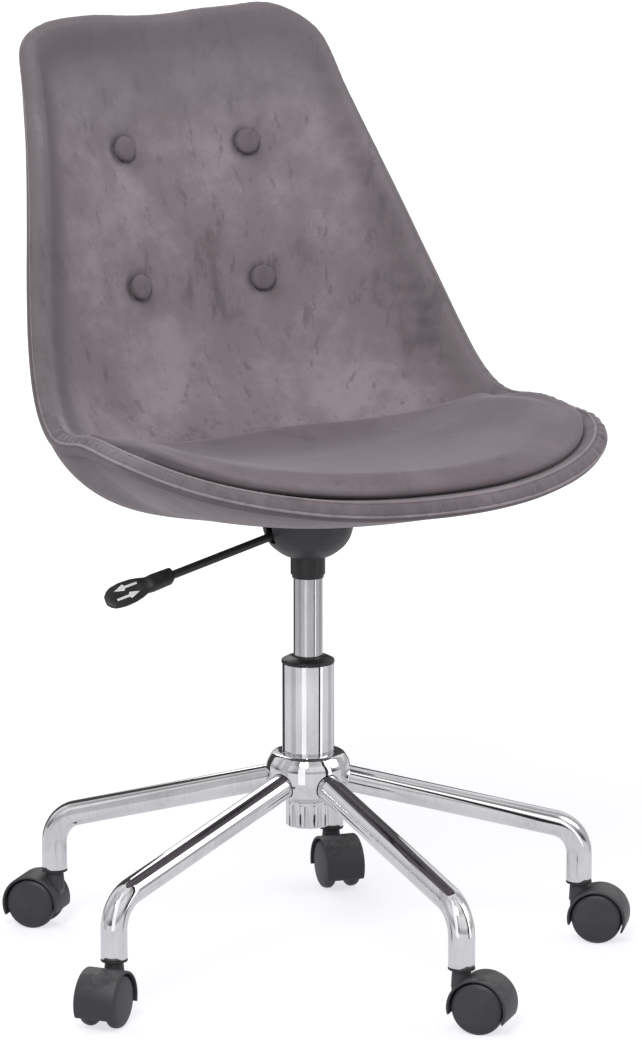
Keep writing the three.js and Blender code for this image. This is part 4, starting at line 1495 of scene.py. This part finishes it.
        # Painted shade on the pad's sides and underside: the rim and shade shares ramp up from its side
        # rings.
        deep = np.clip((np.arange(len(rings)) - first) / 5.0, 0.0, 1.0)
        paint(piece, rings, deep * 0.5, deep * 0.6)
        finer = piece.modifiers.new("subdivision", "SUBSURF")
        finer.levels = finer.render_levels = 1
        self.dresser.dress(piece, Finish.PAD, "seat", "velvet", ["seat_cushion"])


# ------------------------------------------------------------------ base
@dataclass
class StarBase:
    """Chromed hub, five bent tubes and the column."""

    dresser: Dresser
    foot_radius: float = FOOT_RADIUS
    tube_radius: float = TUBE_RADIUS
    tube_wall: float = 0.0015
    end_ease: float = 0.0006
    end_depth: float = 0.012
    slope: float = math.radians(15.4)
    bend_radius: float = 0.034
    corner_z: float = 0.11209
    foot_z: float = FOOT_Z
    arm_start: float = 0.031
    hub_radius: float = 0.0405
    hub_low: float = 0.0225
    hub_bottom: float = 0.159
    hub_top: float = 0.206
    skirt_radius: float = 0.0213
    skirt_bottom: float = 0.133
    flutes: int = 10
    flute_depth: float = 0.0013
    column_radius: float = 0.025
    column_top: float = 0.293
    bush_top: float = 0.3
    shaft_radius: float = 0.0143

    def line_z(self, r: float) -> float:
        """Height of an arm's centre line at a radius."""
        return self.corner_z + (self.foot_radius - r) * math.tan(self.slope)

    def arm_path(self) -> Array:
        """Centre line of one arm in the X-Z plane.

        Returns:
            Its points from the hub to the foot.
        """
        turn = math.pi / 2 - self.slope
        reach = self.bend_radius * math.tan(turn / 2)
        cx, cz = self.foot_radius - self.bend_radius, self.corner_z - reach
        points = []
        end_x = cx + self.bend_radius * math.cos(turn)
        for x in np.linspace(self.arm_start, end_x, 24)[:-1]:
            points.append((x, 0.0, self.line_z(x)))
        for t in np.linspace(turn, 0.0, 28):
            points.append((cx + self.bend_radius * math.cos(t), 0.0, cz + self.bend_radius * math.sin(t)))
        for z in np.linspace(cz, self.foot_z, 8)[1:]:
            points.append((self.foot_radius, 0.0, z))
        return np.array(points)

    def arm_shell(self, radius: float, path: Array) -> Shell:
        """Tube with an eased, hollow lower end.

        Args:
            radius: The tube's radius.
            path: Its centre line.

        Returns:
            The vertices and the faces.
        """
        tangents = np.gradient(path, axis=0)
        tangents /= np.linalg.norm(tangents, axis=1)[:, None]
        angle = whole_turn(64)
        side, down = np.array([0.0, 1.0, 0.0]), np.array([0.0, 0.0, -1.0])
        end, inside = path[-1], path[-1] - down * self.end_depth
        stations = [(p, t, radius) for p, t in zip(path[:-1], tangents)]
        stations += [
            (end - down * self.end_ease, down, radius),
            (end, down, radius - self.end_ease),
            (end, down, radius - self.tube_wall),
            (inside, down, radius - self.tube_wall),
        ]
        rings = [path[:1]]
        for point, along, size in stations:
            lift = np.cross(side, along)
            rings.append(point + size * (np.cos(angle)[:, None] * side + np.sin(angle)[:, None] * lift))
        rings.append(inside[None, :])
        return loft(rings)

    def build_arms(self) -> None:
        """The five bent tubes."""
        shell = self.arm_shell(self.tube_radius, self.arm_path())
        for k in range(ARMS):
            turn = Matrix.Rotation(arm_bearing(k), 4, "Z")
            piece = shown(f"arm_tube_{k + 1}", moved(shell, turn), 50.0)
            self.dresser.dress(piece, Finish.CHROME, "base", "chrome", [f"arm_{k + 1}"])

    def build_hub(self) -> None:
        """Domed hub with a pocket for each arm."""
        bore = self.column_radius + GAP
        section = eased([
            (0.012, self.hub_bottom, 0.0004),
            (self.hub_low, self.hub_bottom, 0.0008),
            (0.0345, self.hub_bottom + 0.0065, 0.005),
            (self.hub_radius, self.hub_bottom + 0.017, 0.009),
            (self.hub_radius, self.hub_top - 0.011, 0.007),
            (0.0345, self.hub_top - 0.0008, 0.006),
            (self.column_radius + 0.003, self.hub_top, 0.0008),
            (bore, self.hub_top, 0.0004),
            (bore, self.hub_bottom + 0.0027, 0.0),
            (0.012, self.hub_bottom + 0.0027, 0.0),
        ], True, 9)
        hub = shown("hub_dome", turned(section, 160, True))
        reach = (self.arm_start - 0.0006, self.hub_radius + 0.012)
        near, far = (np.array([[x, 0.0, self.line_z(x)]]) for x in reach)
        path = np.vstack([near + (far - near) * t for t in np.linspace(0, 1, 6)])
        pocket = swept(path, lambda _: round_section(self.tube_radius + 0.0007, 64), Vector((0, 0, 1)))
        cut(hub, [moved(pocket, Matrix.Rotation(arm_bearing(k), 4, "Z")) for k in range(ARMS)])
        rim = hub.modifiers.new("rim", "BEVEL")
        rim.width, rim.segments = 0.0006, 2
        rim.limit_method, rim.angle_limit = "ANGLE", math.radians(38)
        rim.use_clamp_overlap = True
        even = hub.modifiers.new("even", "WEIGHTED_NORMAL")
        even.keep_sharp = True
        self.dresser.dress(hub, Finish.CHROME, "base", "chrome", ["hub_body"])

    def build_skirt(self) -> None:
        """Fluted skirt under the hub."""
        angle = whole_turn(240)
        groove = hump((angle * self.flutes / (2 * math.pi)) % 1.0, 0.5, 0.12)
        bore = self.skirt_radius - 0.004
        top = self.hub_bottom - GAP
        rows = [
            (bore, self.skirt_bottom, 0.0),
            (self.skirt_radius - 0.0008, self.skirt_bottom, 1.0),
            (self.skirt_radius - 0.0002, self.skirt_bottom + 0.0004, 1.0),
            (self.skirt_radius, self.skirt_bottom + 0.0012, 1.0),
            (self.skirt_radius, top - 0.004, 1.0),
            (self.skirt_radius, top - 0.002, 0.4),
            (self.skirt_radius + 0.0006, top - 0.001, 0.0),
            (self.skirt_radius + 0.0006, top, 0.0),
            (bore, top, 0.0),
        ]
        rings = []
        for r, z, deep in rows:
            size = r - self.flute_depth * groove * deep
            rings.append(np.stack([size * np.cos(angle), size * np.sin(angle), np.full(len(angle), z)], 1))
        piece = shown("fluted_skirt", loft(rings, closed=True), 50.0)
        self.dresser.dress(piece, Finish.CHROME, "base", "chrome", ["hub_skirt"])

    def build_column(self) -> None:
        """Column tube and the guide bush in its top."""
        r, inner = self.column_radius, self.column_radius - 0.0016
        low = self.hub_bottom + 0.003
        tube = eased([
            (0.0053, low, 0),
            (r, low, 0.0006),
            (r, self.column_top, 0.0007),
            (inner, self.column_top, 0.0005),
            (inner, low + 0.003, 0),
            (0.0053, low + 0.003, 0),
        ], True)
        piece = shown("column_sleeve", turned(tube, 128, True))
        self.dresser.dress(piece, Finish.CHROME, "base", "chrome", ["column_tube"])
        guide = self.shaft_radius
        bush = eased([
            (guide, self.bush_top - 0.06, 0),
            (inner - GAP, self.bush_top - 0.06, 0.0006),
            (inner - GAP, self.column_top + GAP, 0),
            (r + 0.0006, self.column_top + GAP, 0.0006),
            (r + 0.0006, self.column_top + 0.0032, 0.0012),
            (guide + 0.0045, self.bush_top - 0.0004, 0.0016),
            (guide + 0.001, self.bush_top, 0.0006),
            (guide, self.bush_top - 0.0006, 0.0004),
        ], True)
        piece = shown("guide_bushing", turned(bush, 128, True))
        self.dresser.dress(piece, Finish.NYLON, "base", "black_plastic", ["guide_bush"])

    def build(self) -> None:
        """Builds the base and dresses the frame nodes that stay."""
        self.build_arms()
        self.build_hub()
        self.build_skirt()
        self.build_column()
        for node in ("piston_rod", "thrust_bearing"):
            self.dresser.keep(node, Finish.SPRING)
        self.dresser.keep("retaining_clip", Finish.ZINC)


# ------------------------------------------------------------------ gas spring and mechanism
@dataclass
class Mechanism:
    """Gas spring cylinder, its mounting sleeve and plate, and the bowl-shaped cover."""

    dresser: Dresser
    shaft_radius: float = 0.014
    shaft_bottom: float = 0.25
    shaft_top: float = 0.411
    taper: float = 0.0012
    sleeve_radius: float = 0.0167
    sleeve_bottom: float = 0.3763
    mount_z: float = 0.432
    plate_radius: float = 0.04
    cover_radius: float = 0.044
    cover_bottom: float = 0.397
    cover_wall: float = 0.002
    lever_x: float = LEVER_X
    lever_z: float = LEVER_Z
    lug_half: float = 0.006
    lug_spacing: float = 0.0063

    def build_shaft(self) -> None:
        """The polished gas spring cylinder."""
        r = self.shaft_radius
        section = eased([
            (0.0, 0.377, 0),
            (0.0053, 0.377, 0),
            (0.0053, self.shaft_bottom, 0.0004),
            (r, self.shaft_bottom, 0.0012),
            (r, self.sleeve_bottom, 0),
            (r - self.taper, self.shaft_top, 0.0008),
            (0.0043, self.shaft_top, 0.0003),
            (0.0043, 0.3985, 0),
            (0.0, 0.3985, 0),
        ], False)
        piece = shown("spring_cylinder", turned(section, 128, False))
        self.dresser.dress(piece, Finish.SPRING, "seat", "spring_steel", ["lift_cylinder"])

    def build_sleeve(self) -> None:
        """Tapered sleeve with the plate and the lever's lugs."""
        inside = self.shaft_radius + GAP
        sleeve = eased([
            (inside, self.sleeve_bottom, 0.0003),
            (self.sleeve_radius - 0.0014, self.sleeve_bottom, 0.0005),
            (self.sleeve_radius - 0.0014, self.sleeve_bottom + 0.0034, 0.0005),
            (self.sleeve_radius, self.sleeve_bottom + 0.0036, 0.0005),
            (self.sleeve_radius, 0.4172, 0.0006),
            (inside - 0.0012, 0.4172, 0.0003),
            (inside - 0.0012, self.shaft_top, 0),
        ], True)
        top = self.mount_z - GAP
        plate = eased([
            (0.0, top - 0.004, 0),
            (self.plate_radius, top - 0.004, 0.0006),
            (self.plate_radius, top, 0.0006),
            (0.0, top, 0),
        ], False)
        shells = [turned(sleeve, 112, True), turned(plate, 112, False)]
        half, low, high = self.lug_half, self.lever_z - 0.0055, top - 0.003
        lug = extruded([(-half, low), (half, low), (half, high), (-half, high)], 0.0015, 0.0003)
        turn = Matrix.Rotation(math.pi / 2, 4, "Z")
        for side in (-1, 1):
            carried = Matrix.Translation((self.lever_x, side * self.lug_spacing, 0.0)) @ turn
            shells.append(moved(lug, carried))
        piece = shown("mount_sleeve", combine(shells))
        self.dresser.dress(piece, Finish.NYLON, "seat", "black_plastic", ["seat_plate"])

    def build_cover(self) -> None:
        """Bowl that hides the plate and the valve, with a slot for the lever."""
        top = self.mount_z - 0.0004
        tall = top - self.cover_bottom
        shape = np.array([
            (0.405, 0.0), (0.46, 0.0), (0.62, 0.115), (0.8, 0.3), (0.92, 0.52), (0.98, 0.76), (1.0, 1.0)
        ])
        run = np.concatenate([[0.0], np.cumsum(np.linalg.norm(np.diff(shape, axis=0), axis=1))])
        fine = np.linspace(0.0, run[-1], 41)
        r = np.interp(fine, run, shape[:, 0])
        h = np.interp(fine, run, shape[:, 1])
        for _ in range(6):
            r[1:-1] = (r[:-2] + 2 * r[1:-1] + r[2:]) / 4
            h[1:-1] = (h[:-2] + 2 * h[1:-1] + h[2:]) / 4
        wall = [(self.cover_radius * a, self.cover_bottom + tall * b) for a, b in zip(r, h)]
        wide = [(a, b) for a, b in wall[::-1] if a > 0.0215]
        lining = [(a - self.cover_wall, min(b + self.cover_wall * 0.7, top)) for a, b in wide]
        piece = shown("mount_cover", turned([*wall, *lining], 144, True))
        slot = [
            (-0.006, self.lever_z - 0.009),
            (-0.0045, self.lever_z - 0.0105),
            (0.0045, self.lever_z - 0.0105),
            (0.006, self.lever_z - 0.009),
            (0.006, top + 0.003),
            (-0.006, top + 0.003),
        ]
        tool = extruded(slot, 0.015, 0.0)
        cut(piece, [moved(tool, Matrix.Translation((-0.036, 0, 0)))])
        self.dresser.dress(piece, Finish.HOUSING, "seat", "grey_plastic", ["mechanism_cover"])

    def build(self) -> None:
        """Builds the mechanism and dresses its fasteners."""
        self.build_shaft()
        self.build_sleeve()
        self.build_cover()
        self.dresser.keep("release_button", Finish.ZINC)
        for k in range(1, 5):
            self.dresser.keep(f"plate_bolt_{k}", Finish.ZINC)


@dataclass
class HeightLever:
    """Rod and paddle grip of the height lever, on the sitter's right."""

    dresser: Dresser
    pivot_x: float = LEVER_X
    pivot_z: float = LEVER_Z
    pin_radius: float = 0.0025
    pin_half: float = 0.0088
    rod_radius: float = 0.004
    slope: float = math.radians(13.6)
    inner_x: float = 0.005
    bend_x: float = -0.027
    rod_end: float = -0.19
    grip_start: float = 0.15
    grip_end: float = 0.22
    grip_width: float = 0.026
    grip_thickness: float = 0.009
    grip_tilt: float = math.radians(45.0)

    def line_z(self, x: Array) -> Array:
        """Height of the rod's centre line."""
        return self.pivot_z - np.maximum(0.0, self.bend_x - x) * math.tan(self.slope)

    def build_rod(self) -> None:
        """Bent rod with its cross pin."""
        xs = np.concatenate([
            np.linspace(self.inner_x, -0.0235, 6),
            np.linspace(-0.0245, -0.0305, 7),
            np.linspace(-0.034, self.rod_end, 16),
        ])
        blur = np.mean([self.line_z(xs + d) for d in (-0.003, -0.0015, 0.0, 0.0015, 0.003)], axis=0)
        path = np.column_stack([xs, np.zeros(len(xs)), blur])

        def section(share: float) -> Array:
            """Rod section, eased at both ends."""
            end = min(share, 1.0 - share)
            return round_section(self.rod_radius * (0.82 if end < 1e-6 else 1.0), 32)

        rod = swept(path, section, Vector((0, 0, 1)))
        r, half = self.pin_radius, self.pin_half
        corners = [(0, -half, 0), (r, -half, 0.0004), (r, half, 0.0004), (0, half, 0)]
        pin = turned(eased(corners, False), 32, False)
        turn = Matrix.Translation((self.pivot_x, 0, self.pivot_z)) @ Matrix.Rotation(math.pi / 2, 4, "X")
        piece = shown("lever_arm", combine([rod, moved(pin, turn)]))
        self.dresser.dress(piece, Finish.NYLON, "lever", "black_plastic", ["lever_rod"])

    def grip_point(self, along: Array, tall: Array, thick: Array, wide: Array, deep: Array) -> Array:
        """Places section points on the tilted grip.

        Args:
            along: Share of the grip's length.
            tall: Share of its full width.
            thick: Share of its full thickness.
            wide: Place across the width, -1 to 1.
            deep: Place through the thickness, -1 to 1.

        Returns:
            The points, in rows.
        """
        x = -(self.grip_start + along * (self.grip_end - self.grip_start))
        w = wide * tall * self.grip_width / 2
        d = deep * thick * self.grip_thickness / 2
        y = w * math.cos(self.grip_tilt) - d * math.sin(self.grip_tilt)
        z = w * math.sin(self.grip_tilt) + d * math.cos(self.grip_tilt)
        return np.stack([x + 0 * y, y, self.line_z(x) + z], -1)

    def build_grip(self) -> None:
        """Paddle: an oval socket that swells to a flat rounded tip, with a printed arrow pair."""
        marks = np.array([
            (0.0, 0.52, 1.25), (0.02, 0.6, 1.45), (0.3, 0.66, 1.42), (0.345, 0.62, 1.3),
            (0.38, 0.62, 0.98), (0.46, 0.8, 0.84), (0.58, 0.95, 0.78), (0.74, 1.0, 0.7),
            (0.88, 0.9, 0.6), (0.95, 0.68, 0.5), (0.99, 0.4, 0.4),
        ])
        spans = ((0, 0.04, 5), (0.07, 0.9, 40), (0.91, 0.99, 9))
        along = np.concatenate([np.linspace(*span) for span in spans])
        tall = np.interp(along, marks[:, 0], marks[:, 1])
        thick = np.interp(along, marks[:, 0], marks[:, 2])
        for _ in range(2):
            for line in (tall, thick):
                line[6:-1] = (line[5:-2] + 2 * line[6:-1] + line[7:]) / 4
        angle = whole_turn(56)
        power = 0.72
        wide = np.sign(np.cos(angle)) * np.abs(np.cos(angle)) ** power
        deep = np.sign(np.sin(angle)) * np.abs(np.sin(angle)) ** power
        rings = [self.grip_point(np.full(56, a), t, h, wide, deep) for a, t, h in zip(along, tall, thick)]
        tip = self.grip_point(np.array([1.0]), 0.0, 0.0, np.zeros(1), np.zeros(1))
        piece = shown("lever_grip", loft([rings[0].mean(0)[None, :], *rings, tip]), 60.0)
        self.dresser.dress(piece, Finish.NYLON, "lever", "black_plastic", ["lever_handle"])
        arrow = np.array([
            (0.52, 0.3), (0.72, 0.3), (0.72, 0.12), (0.86, 0.4), (0.72, 0.68), (0.72, 0.5), (0.52, 0.5)
        ])
        shells = []
        for flat in (arrow, np.array([1.38, 0.0]) - arrow):
            width = np.interp(flat[:, 0], along, tall)
            depth = np.interp(flat[:, 0], along, thick)
            wide = flat[:, 1] * width
            layers = [self.grip_point(flat[:, 0], 1.0, 1.0, wide, lift * depth) for lift in (0.35, 1.04)]
            shells.append(capped(layers))
        mark = shown("grip_arrows", combine(shells))
        self.dresser.dress(mark, Finish.MARK, "lever", "black_plastic")

    def build(self) -> None:
        """Builds the lever."""
        self.build_rod()
        self.build_grip()


# ------------------------------------------------------------------ casters
@dataclass
class Casters:
    """Five twin-wheel casters, each on its own swivel."""

    dresser: Dresser
    foot_radius: float = FOOT_RADIUS
    headings: tuple[float, ...] = (-51.0, -43.0, -102.0, 131.0, 217.0)
    wheel_radius: float = 0.025
    axle_z: float = 0.025
    trail: float = 0.02
    inner_face: float = 0.0084
    outer_face: float = 0.0192
    hood_inner: float = 0.0262
    hood_outer: float = 0.0287
    hood_half: float = 0.02
    neck_radius: float = 0.0085
    foot_z: float = FOOT_Z
    tube_radius: float = TUBE_RADIUS

    def arc(self, radius: float, start: float, stop: float, steps: int) -> list[tuple[float, float]]:
        """Points round the axle in the caster's middle plane."""
        turns = [math.radians(start + (stop - start) * i / steps) for i in range(steps + 1)]
        return [(self.trail + radius * math.cos(t), self.axle_z + radius * math.sin(t)) for t in turns]

    def hood_shell(self) -> Shell:
        """Curved hood with soft edges, its middle web and its neck.

        Returns:
            The vertices and the faces.
        """
        turns = np.radians(np.linspace(-26.0, 194.0, 89))
        half, t = self.hood_half, self.hood_outer - self.hood_inner
        mid = (self.hood_outer + self.hood_inner) / 2
        flat = []
        for cx, cy, start in ((half, 0.5, 0), (-half, 0.5, 90), (-half, -0.5, 180), (half, -0.5, 270)):
            for d in np.radians(np.linspace(start, start + 90, 6)):
                e = 0.0011
                side = cx - math.copysign(e, cx) + e * math.cos(d)
                flat.append((side, cy * t - math.copysign(e, cy) + e * math.sin(d)))
        section = np.array(flat)
        crown = 0.0009 * (1.0 - (section[:, 0] / half) ** 2)
        rings = []
        for i, turn in enumerate(turns):
            near = min(i, len(turns) - 1 - i)
            shrink = {0: 0.55, 1: 0.88}.get(near, 1.0)
            rad = mid + section[:, 1] * shrink + crown
            rings.append(np.column_stack([
                section[:, 0] * (0.985 if near == 0 else 1.0),
                self.trail + rad * math.cos(turn),
                self.axle_z + rad * math.sin(turn),
            ]))
        band = capped(rings)
        web = extruded([
            (-0.0075, self.foot_z - 0.011),
            (-0.0075, self.axle_z + 0.004),
            (-0.004, self.axle_z - 0.006),
            (0.004, self.axle_z - 0.0085),
            (self.trail, self.axle_z - 0.0085),
            *self.arc(self.hood_inner + 0.0012, 0.0, 128.0, 14),
        ], 0.0072, 0.0006)
        top = self.foot_z - 0.0026
        neck = turned(eased([
            (0.0, self.foot_z - 0.02, 0),
            (self.neck_radius + 0.0012, self.foot_z - 0.02, 0.001),
            (self.neck_radius + 0.0006, self.foot_z - 0.007, 0.003),
            (self.neck_radius, top - 0.001, 0.001),
            (self.neck_radius - 0.0005, top, 0.0005),
            (0.0, top, 0),
        ], False), 56, False)
        return combine([band, web, neck])

    def wheel_shell(self) -> Shell:
        """Wheel about Z, its domed face on the +Z side.

        Returns:
            The vertices and the faces.
        """
        r, inner, outer = self.wheel_radius, self.inner_face, self.outer_face
        section = eased([
            (0.0, outer + 0.0004, 0),
            (r * 0.3, outer + 0.0003, 0.002),
            (r * 0.7, outer - 0.0003, 0.003),
            (r * 0.86, outer - 0.0010, 0.0016),
            (r * 0.885, outer - 0.0016, 0.0003),
            (r * 0.9, outer - 0.0013, 0.0004),
            (r * 0.955, outer - 0.0022, 0.0012),
            (r, outer - 0.0048, 0.002),
            (r, inner + 0.0022, 0.0012),
            (r - 0.0018, inner, 0.0008),
            (0.0034, inner, 0.0003),
            (0.0034, outer - 0.0016, 0),
            (0.0, outer - 0.0016, 0),
        ], False, 6)
        return turned(section, 96, False)

    def build_one(self, k: int) -> None:
        """Builds one caster.

        Args:
            k: The caster's number, counted from 0 at the front.
        """
        n = k + 1
        turn = arm_bearing(k)
        spot = (self.foot_radius * math.cos(turn), self.foot_radius * math.sin(turn), 0.0)
        carry = Matrix.Translation(spot) @ Matrix.Rotation(math.radians(self.headings[k] - 90.0), 4, "Z")
        hood = shown(f"caster_fork_{n}", moved(self.hood_shell(), carry), 45.0)
        self.dresser.dress(hood, Finish.CASTER, f"caster_{n}", "black_plastic", [f"caster_hood_{n}"])
        for side, sign in (("left", -1), ("right", 1)):
            lay = Matrix.Rotation(sign * math.pi / 2, 4, "Y")
            middle = Matrix.Translation((0.0, self.trail, self.axle_z))
            wheel = shown(f"roller_{side}_{n}", moved(self.wheel_shell(), carry @ middle @ lay), 40.0)
            body, node = f"{side}_roller_{n}", f"wheel_{side}_{n}"
            self.dresser.dress(wheel, Finish.CASTER, body, "grey_plastic", [node])
        flange = self.foot_z - GAP
        collar = turned(eased([
            (0.0053, flange - 0.002, 0),
            (self.tube_radius + 0.0002, flange - 0.002, 0.0006),
            (self.tube_radius + 0.0002, flange, 0.0005),
            (0.0106, flange, 0),
            (0.0106, flange + 0.026, 0.0005),
            (0.0053, flange + 0.026, 0),
        ], True), 64, True)
        piece = shown(f"socket_collar_{n}", moved(collar, Matrix.Translation(spot)))
        self.dresser.dress(piece, Finish.NYLON, "base", "black_plastic", [f"caster_socket_{n}"])
        self.dresser.keep(f"caster_stem_{n}", Finish.SPRING)
        self.dresser.keep(f"caster_axle_{n}", Finish.ZINC)

    def build(self) -> None:
        """Builds all five."""
        for k in range(ARMS):
            self.build_one(k)


# ------------------------------------------------------------------ studio
@dataclass
class Studio:
    """Pale floor, soft light and the camera."""

    distance: float = 4.1686
    height: float = 1.2335
    bearing: float = math.radians(-31.02)
    pan: float = 0.003
    tilt: float = 0.19
    lens: float = 154.04
    sensor: float = 36.0
    floor_half: float = 30.0
    # place, size and power of each lamp
    lamps: tuple[tuple[tuple[float, float, float], float, float], ...] = (
        ((-2.3, -2.3, 3.3), 1.6, 105.0),
        ((2.8, -2.0, 2.4), 2.4, 26.0),
        ((0.6, 2.8, 2.6), 2.0, 26.0),
    )
    # bearing in degrees, width, tone, glow and distance of each card
    cards: tuple[tuple[float, float, float, float, float], ...] = (
        (290.0, 0.085, 0.02, 0.0, 0.7),
        (300.0, 0.1, 0.9, 1.3, 0.72),
        (222.0, 0.24, 0.9, 0.6, 0.72),
        (172.0, 0.3, 0.5, 0.35, 0.72),
        (100.0, 0.4, 0.04, 0.1, 0.76),
        (50.0, 0.4, 0.06, 0.1, 0.78),
        (352.0, 0.34, 0.4, 0.3, 0.74),
    )
    card_height: float = 1.6
    # share of a full turn and tone of the surroundings there
    bands: tuple[tuple[float, float], ...] = (
        (0.0, 0.95), (0.06, 0.25), (0.1, 0.08), (0.13, 0.9), (0.3, 1.0), (0.34, 0.12), (0.38, 0.1),
        (0.42, 0.9), (0.6, 1.0), (0.66, 0.3), (0.7, 0.95), (0.86, 0.9), (0.9, 0.18), (0.94, 0.9),
    )
    # share of the height from below to above and tone there
    layers: tuple[tuple[float, float], ...] = (
        (0.48, 0.05), (0.56, 0.12), (0.62, 0.8), (0.8, 1.0), (0.86, 0.35), (0.92, 1.0)
    )

    def build_floor(self) -> None:
        """Large matt floor."""
        h = self.floor_half
        corners = np.array([(-h, -h, 0), (h, -h, 0), (h, h, 0), (-h, h, 0)], float)
        floor = shown("floor", (corners, [(0, 1, 2, 3)]))
        material, net, shader = shader_of("pale_floor")
        tone = net.span(net.noise(3.0, 3.0, 0.5, net.place()), 0.2, 0.8, 0.0, 1.0)
        net.link(net.mix(tone, (0.34, 0.335, 0.345, 1), (0.35, 0.345, 0.355, 1)), shader.inputs["Base Color"])
        reach = net.node("ShaderNodeVectorMath", operation="LENGTH")
        net.link(net.place(), reach.inputs[0])
        far = net.span(reach.outputs["Value"], 0.5, 3.2, 0.0, 1.0)
        near = net.mix(tone, (0.69, 0.68, 0.7, 1), (0.7, 0.69, 0.71, 1))
        shown_tone = net.mix(far, near, (0.95, 0.95, 0.955, 1))
        lit_tone = net.mix(tone, (0.42, 0.415, 0.425, 1), (0.43, 0.425, 0.435, 1))
        path = net.node("ShaderNodeLightPath")
        glow = net.mix(path.outputs["Is Camera Ray"], lit_tone, shown_tone)
        net.link(glow, shader.inputs["Emission Color"])
        shader.inputs["Emission Strength"].default_value = 1.0
        shader.inputs["Roughness"].default_value = 0.9
        shader.inputs["Specular IOR Level"].default_value = 0.1
        floor.data.materials.append(material)

    def build_world(self) -> None:
        """Even pale surroundings, with darker bands that only polished metal shows."""
        world = bpy.data.worlds.new("surroundings")
        bpy.context.scene.world = world
        world.use_nodes = True
        net = NodeNet(world.node_tree)
        back = world.node_tree.nodes["Background"]
        where = net.node("ShaderNodeTexCoord").outputs["Generated"]
        split = net.node("ShaderNodeSeparateXYZ")
        net.link(where, split.inputs[0])
        around = net.math("ARCTAN2", split.outputs["Y"], split.outputs["X"])
        ramp = net.node("ShaderNodeValToRGB")
        net.link(net.math("MULTIPLY_ADD", around, 1.0 / (2 * math.pi), 0.5), ramp.inputs[0])
        steps = ramp.color_ramp.elements
        for step, (at, tone) in zip((steps[0], steps[1]), (self.bands[0], self.bands[-1])):
            step.position, step.color = at, grey(tone)
        for at, tone in self.bands[1:-1]:
            steps.new(at).color = grey(tone)
        tall = net.node("ShaderNodeValToRGB")
        net.link(net.math("MULTIPLY_ADD", split.outputs["Z"], 0.5, 0.5), tall.inputs[0])
        for at, tone in self.layers:
            tall.color_ramp.elements.new(at).color = grey(tone)
        mirrored = net.mix(0.5, ramp.outputs[0], tall.outputs[0])
        path = net.node("ShaderNodeLightPath")
        seen = net.mix(path.outputs["Is Glossy Ray"], (0.63, 0.63, 0.64, 1), mirrored)
        net.link(net.mix(path.outputs["Is Camera Ray"], seen, (1.0, 1.0, 1.0, 1)), back.inputs["Color"])
        back.inputs["Strength"].default_value = 1.0

    def build_lamps(self) -> None:
        """Soft area lamps aimed at the seat."""
        for i, (spot, size, power) in enumerate(self.lamps):
            data = bpy.data.lights.new(f"softbox_{i + 1}", "AREA")
            data.shape, data.size, data.energy = "DISK", size, power
            lamp = bpy.data.objects.new(data.name, data)
            bpy.context.scene.collection.objects.link(lamp)
            lamp.location = spot
            lamp.rotation_mode = "QUATERNION"
            lamp.rotation_quaternion = (Vector((0.0, 0.0, 0.5)) - Vector(spot)).to_track_quat("-Z", "Y")

    def build_cards(self) -> None:
        """Dark and bright upright cards that only reflections show."""
        for i, (bearing, width, tone, glow, reach) in enumerate(self.cards):
            turn = math.radians(bearing)
            half = width / 2
            top = self.card_height
            sides = ((-half, 0.0), (half, 0.0), (half, top), (-half, top))
            corners = np.array([(reach, side, z) for side, z in sides])
            card = shown(f"card_{i + 1}", moved((corners, [(0, 1, 2, 3)]), Matrix.Rotation(turn, 4, "Z")))
            material, net, shader = shader_of(f"card_tone_{i + 1}")
            mist = net.span(net.noise(2.0, 2.0, 0.5, net.place()), 0.3, 0.7, 0.0, 1.0)
            misted = net.mix(mist, grey(tone), grey(tone * 1.15))
            net.link(misted, shader.inputs["Base Color"])
            net.link(misted, shader.inputs["Emission Color"])
            shader.inputs["Emission Strength"].default_value = glow
            shader.inputs["Roughness"].default_value = 0.9
            card.data.materials.append(material)
            for ray in ("camera", "diffuse", "shadow", "transmission", "volume_scatter"):
                setattr(card, f"visible_{ray}", False)

    def build_camera(self) -> None:
        """Camera at the chair's front left quarter."""
        data = bpy.data.cameras.new("camera")
        data.lens, data.sensor_width = self.lens, self.sensor
        camera = bpy.data.objects.new("camera", data)
        bpy.context.scene.collection.objects.link(camera)
        turn = self.bearing - math.pi / 2
        camera.location = (self.distance * math.cos(turn), self.distance * math.sin(turn), self.height)
        look = Vector((
            math.sin(self.pan) * math.cos(self.tilt),
            math.cos(self.pan) * math.cos(self.tilt),
            -math.sin(self.tilt),
        ))
        look.rotate(Matrix.Rotation(self.bearing, 3, "Z"))
        camera.rotation_mode = "QUATERNION"
        camera.rotation_quaternion = look.to_track_quat("-Z", "Y")
        bpy.context.scene.camera = camera

    def build(self) -> None:
        """Builds the studio."""
        self.build_floor()
        self.build_world()
        self.build_lamps()
        self.build_cards()
        self.build_camera()
        bpy.context.scene.view_settings.view_transform = "Standard"


def main() -> None:
    """Builds the chair's looks round the frame."""
    logging.basicConfig(level=logging.INFO, format="%(name)s: %(message)s")
    dresser = Dresser()
    surface = SeatSurface()
    Studio().build()
    StarBase(dresser).build()
    Mechanism(dresser).build()
    HeightLever(dresser).build()
    Casters(dresser).build()
    Upholstery(surface, dresser).build()
    SeatPad(surface, dresser).build()
    LOG.info("sizes written")


if __name__ == "__main__":
    main()
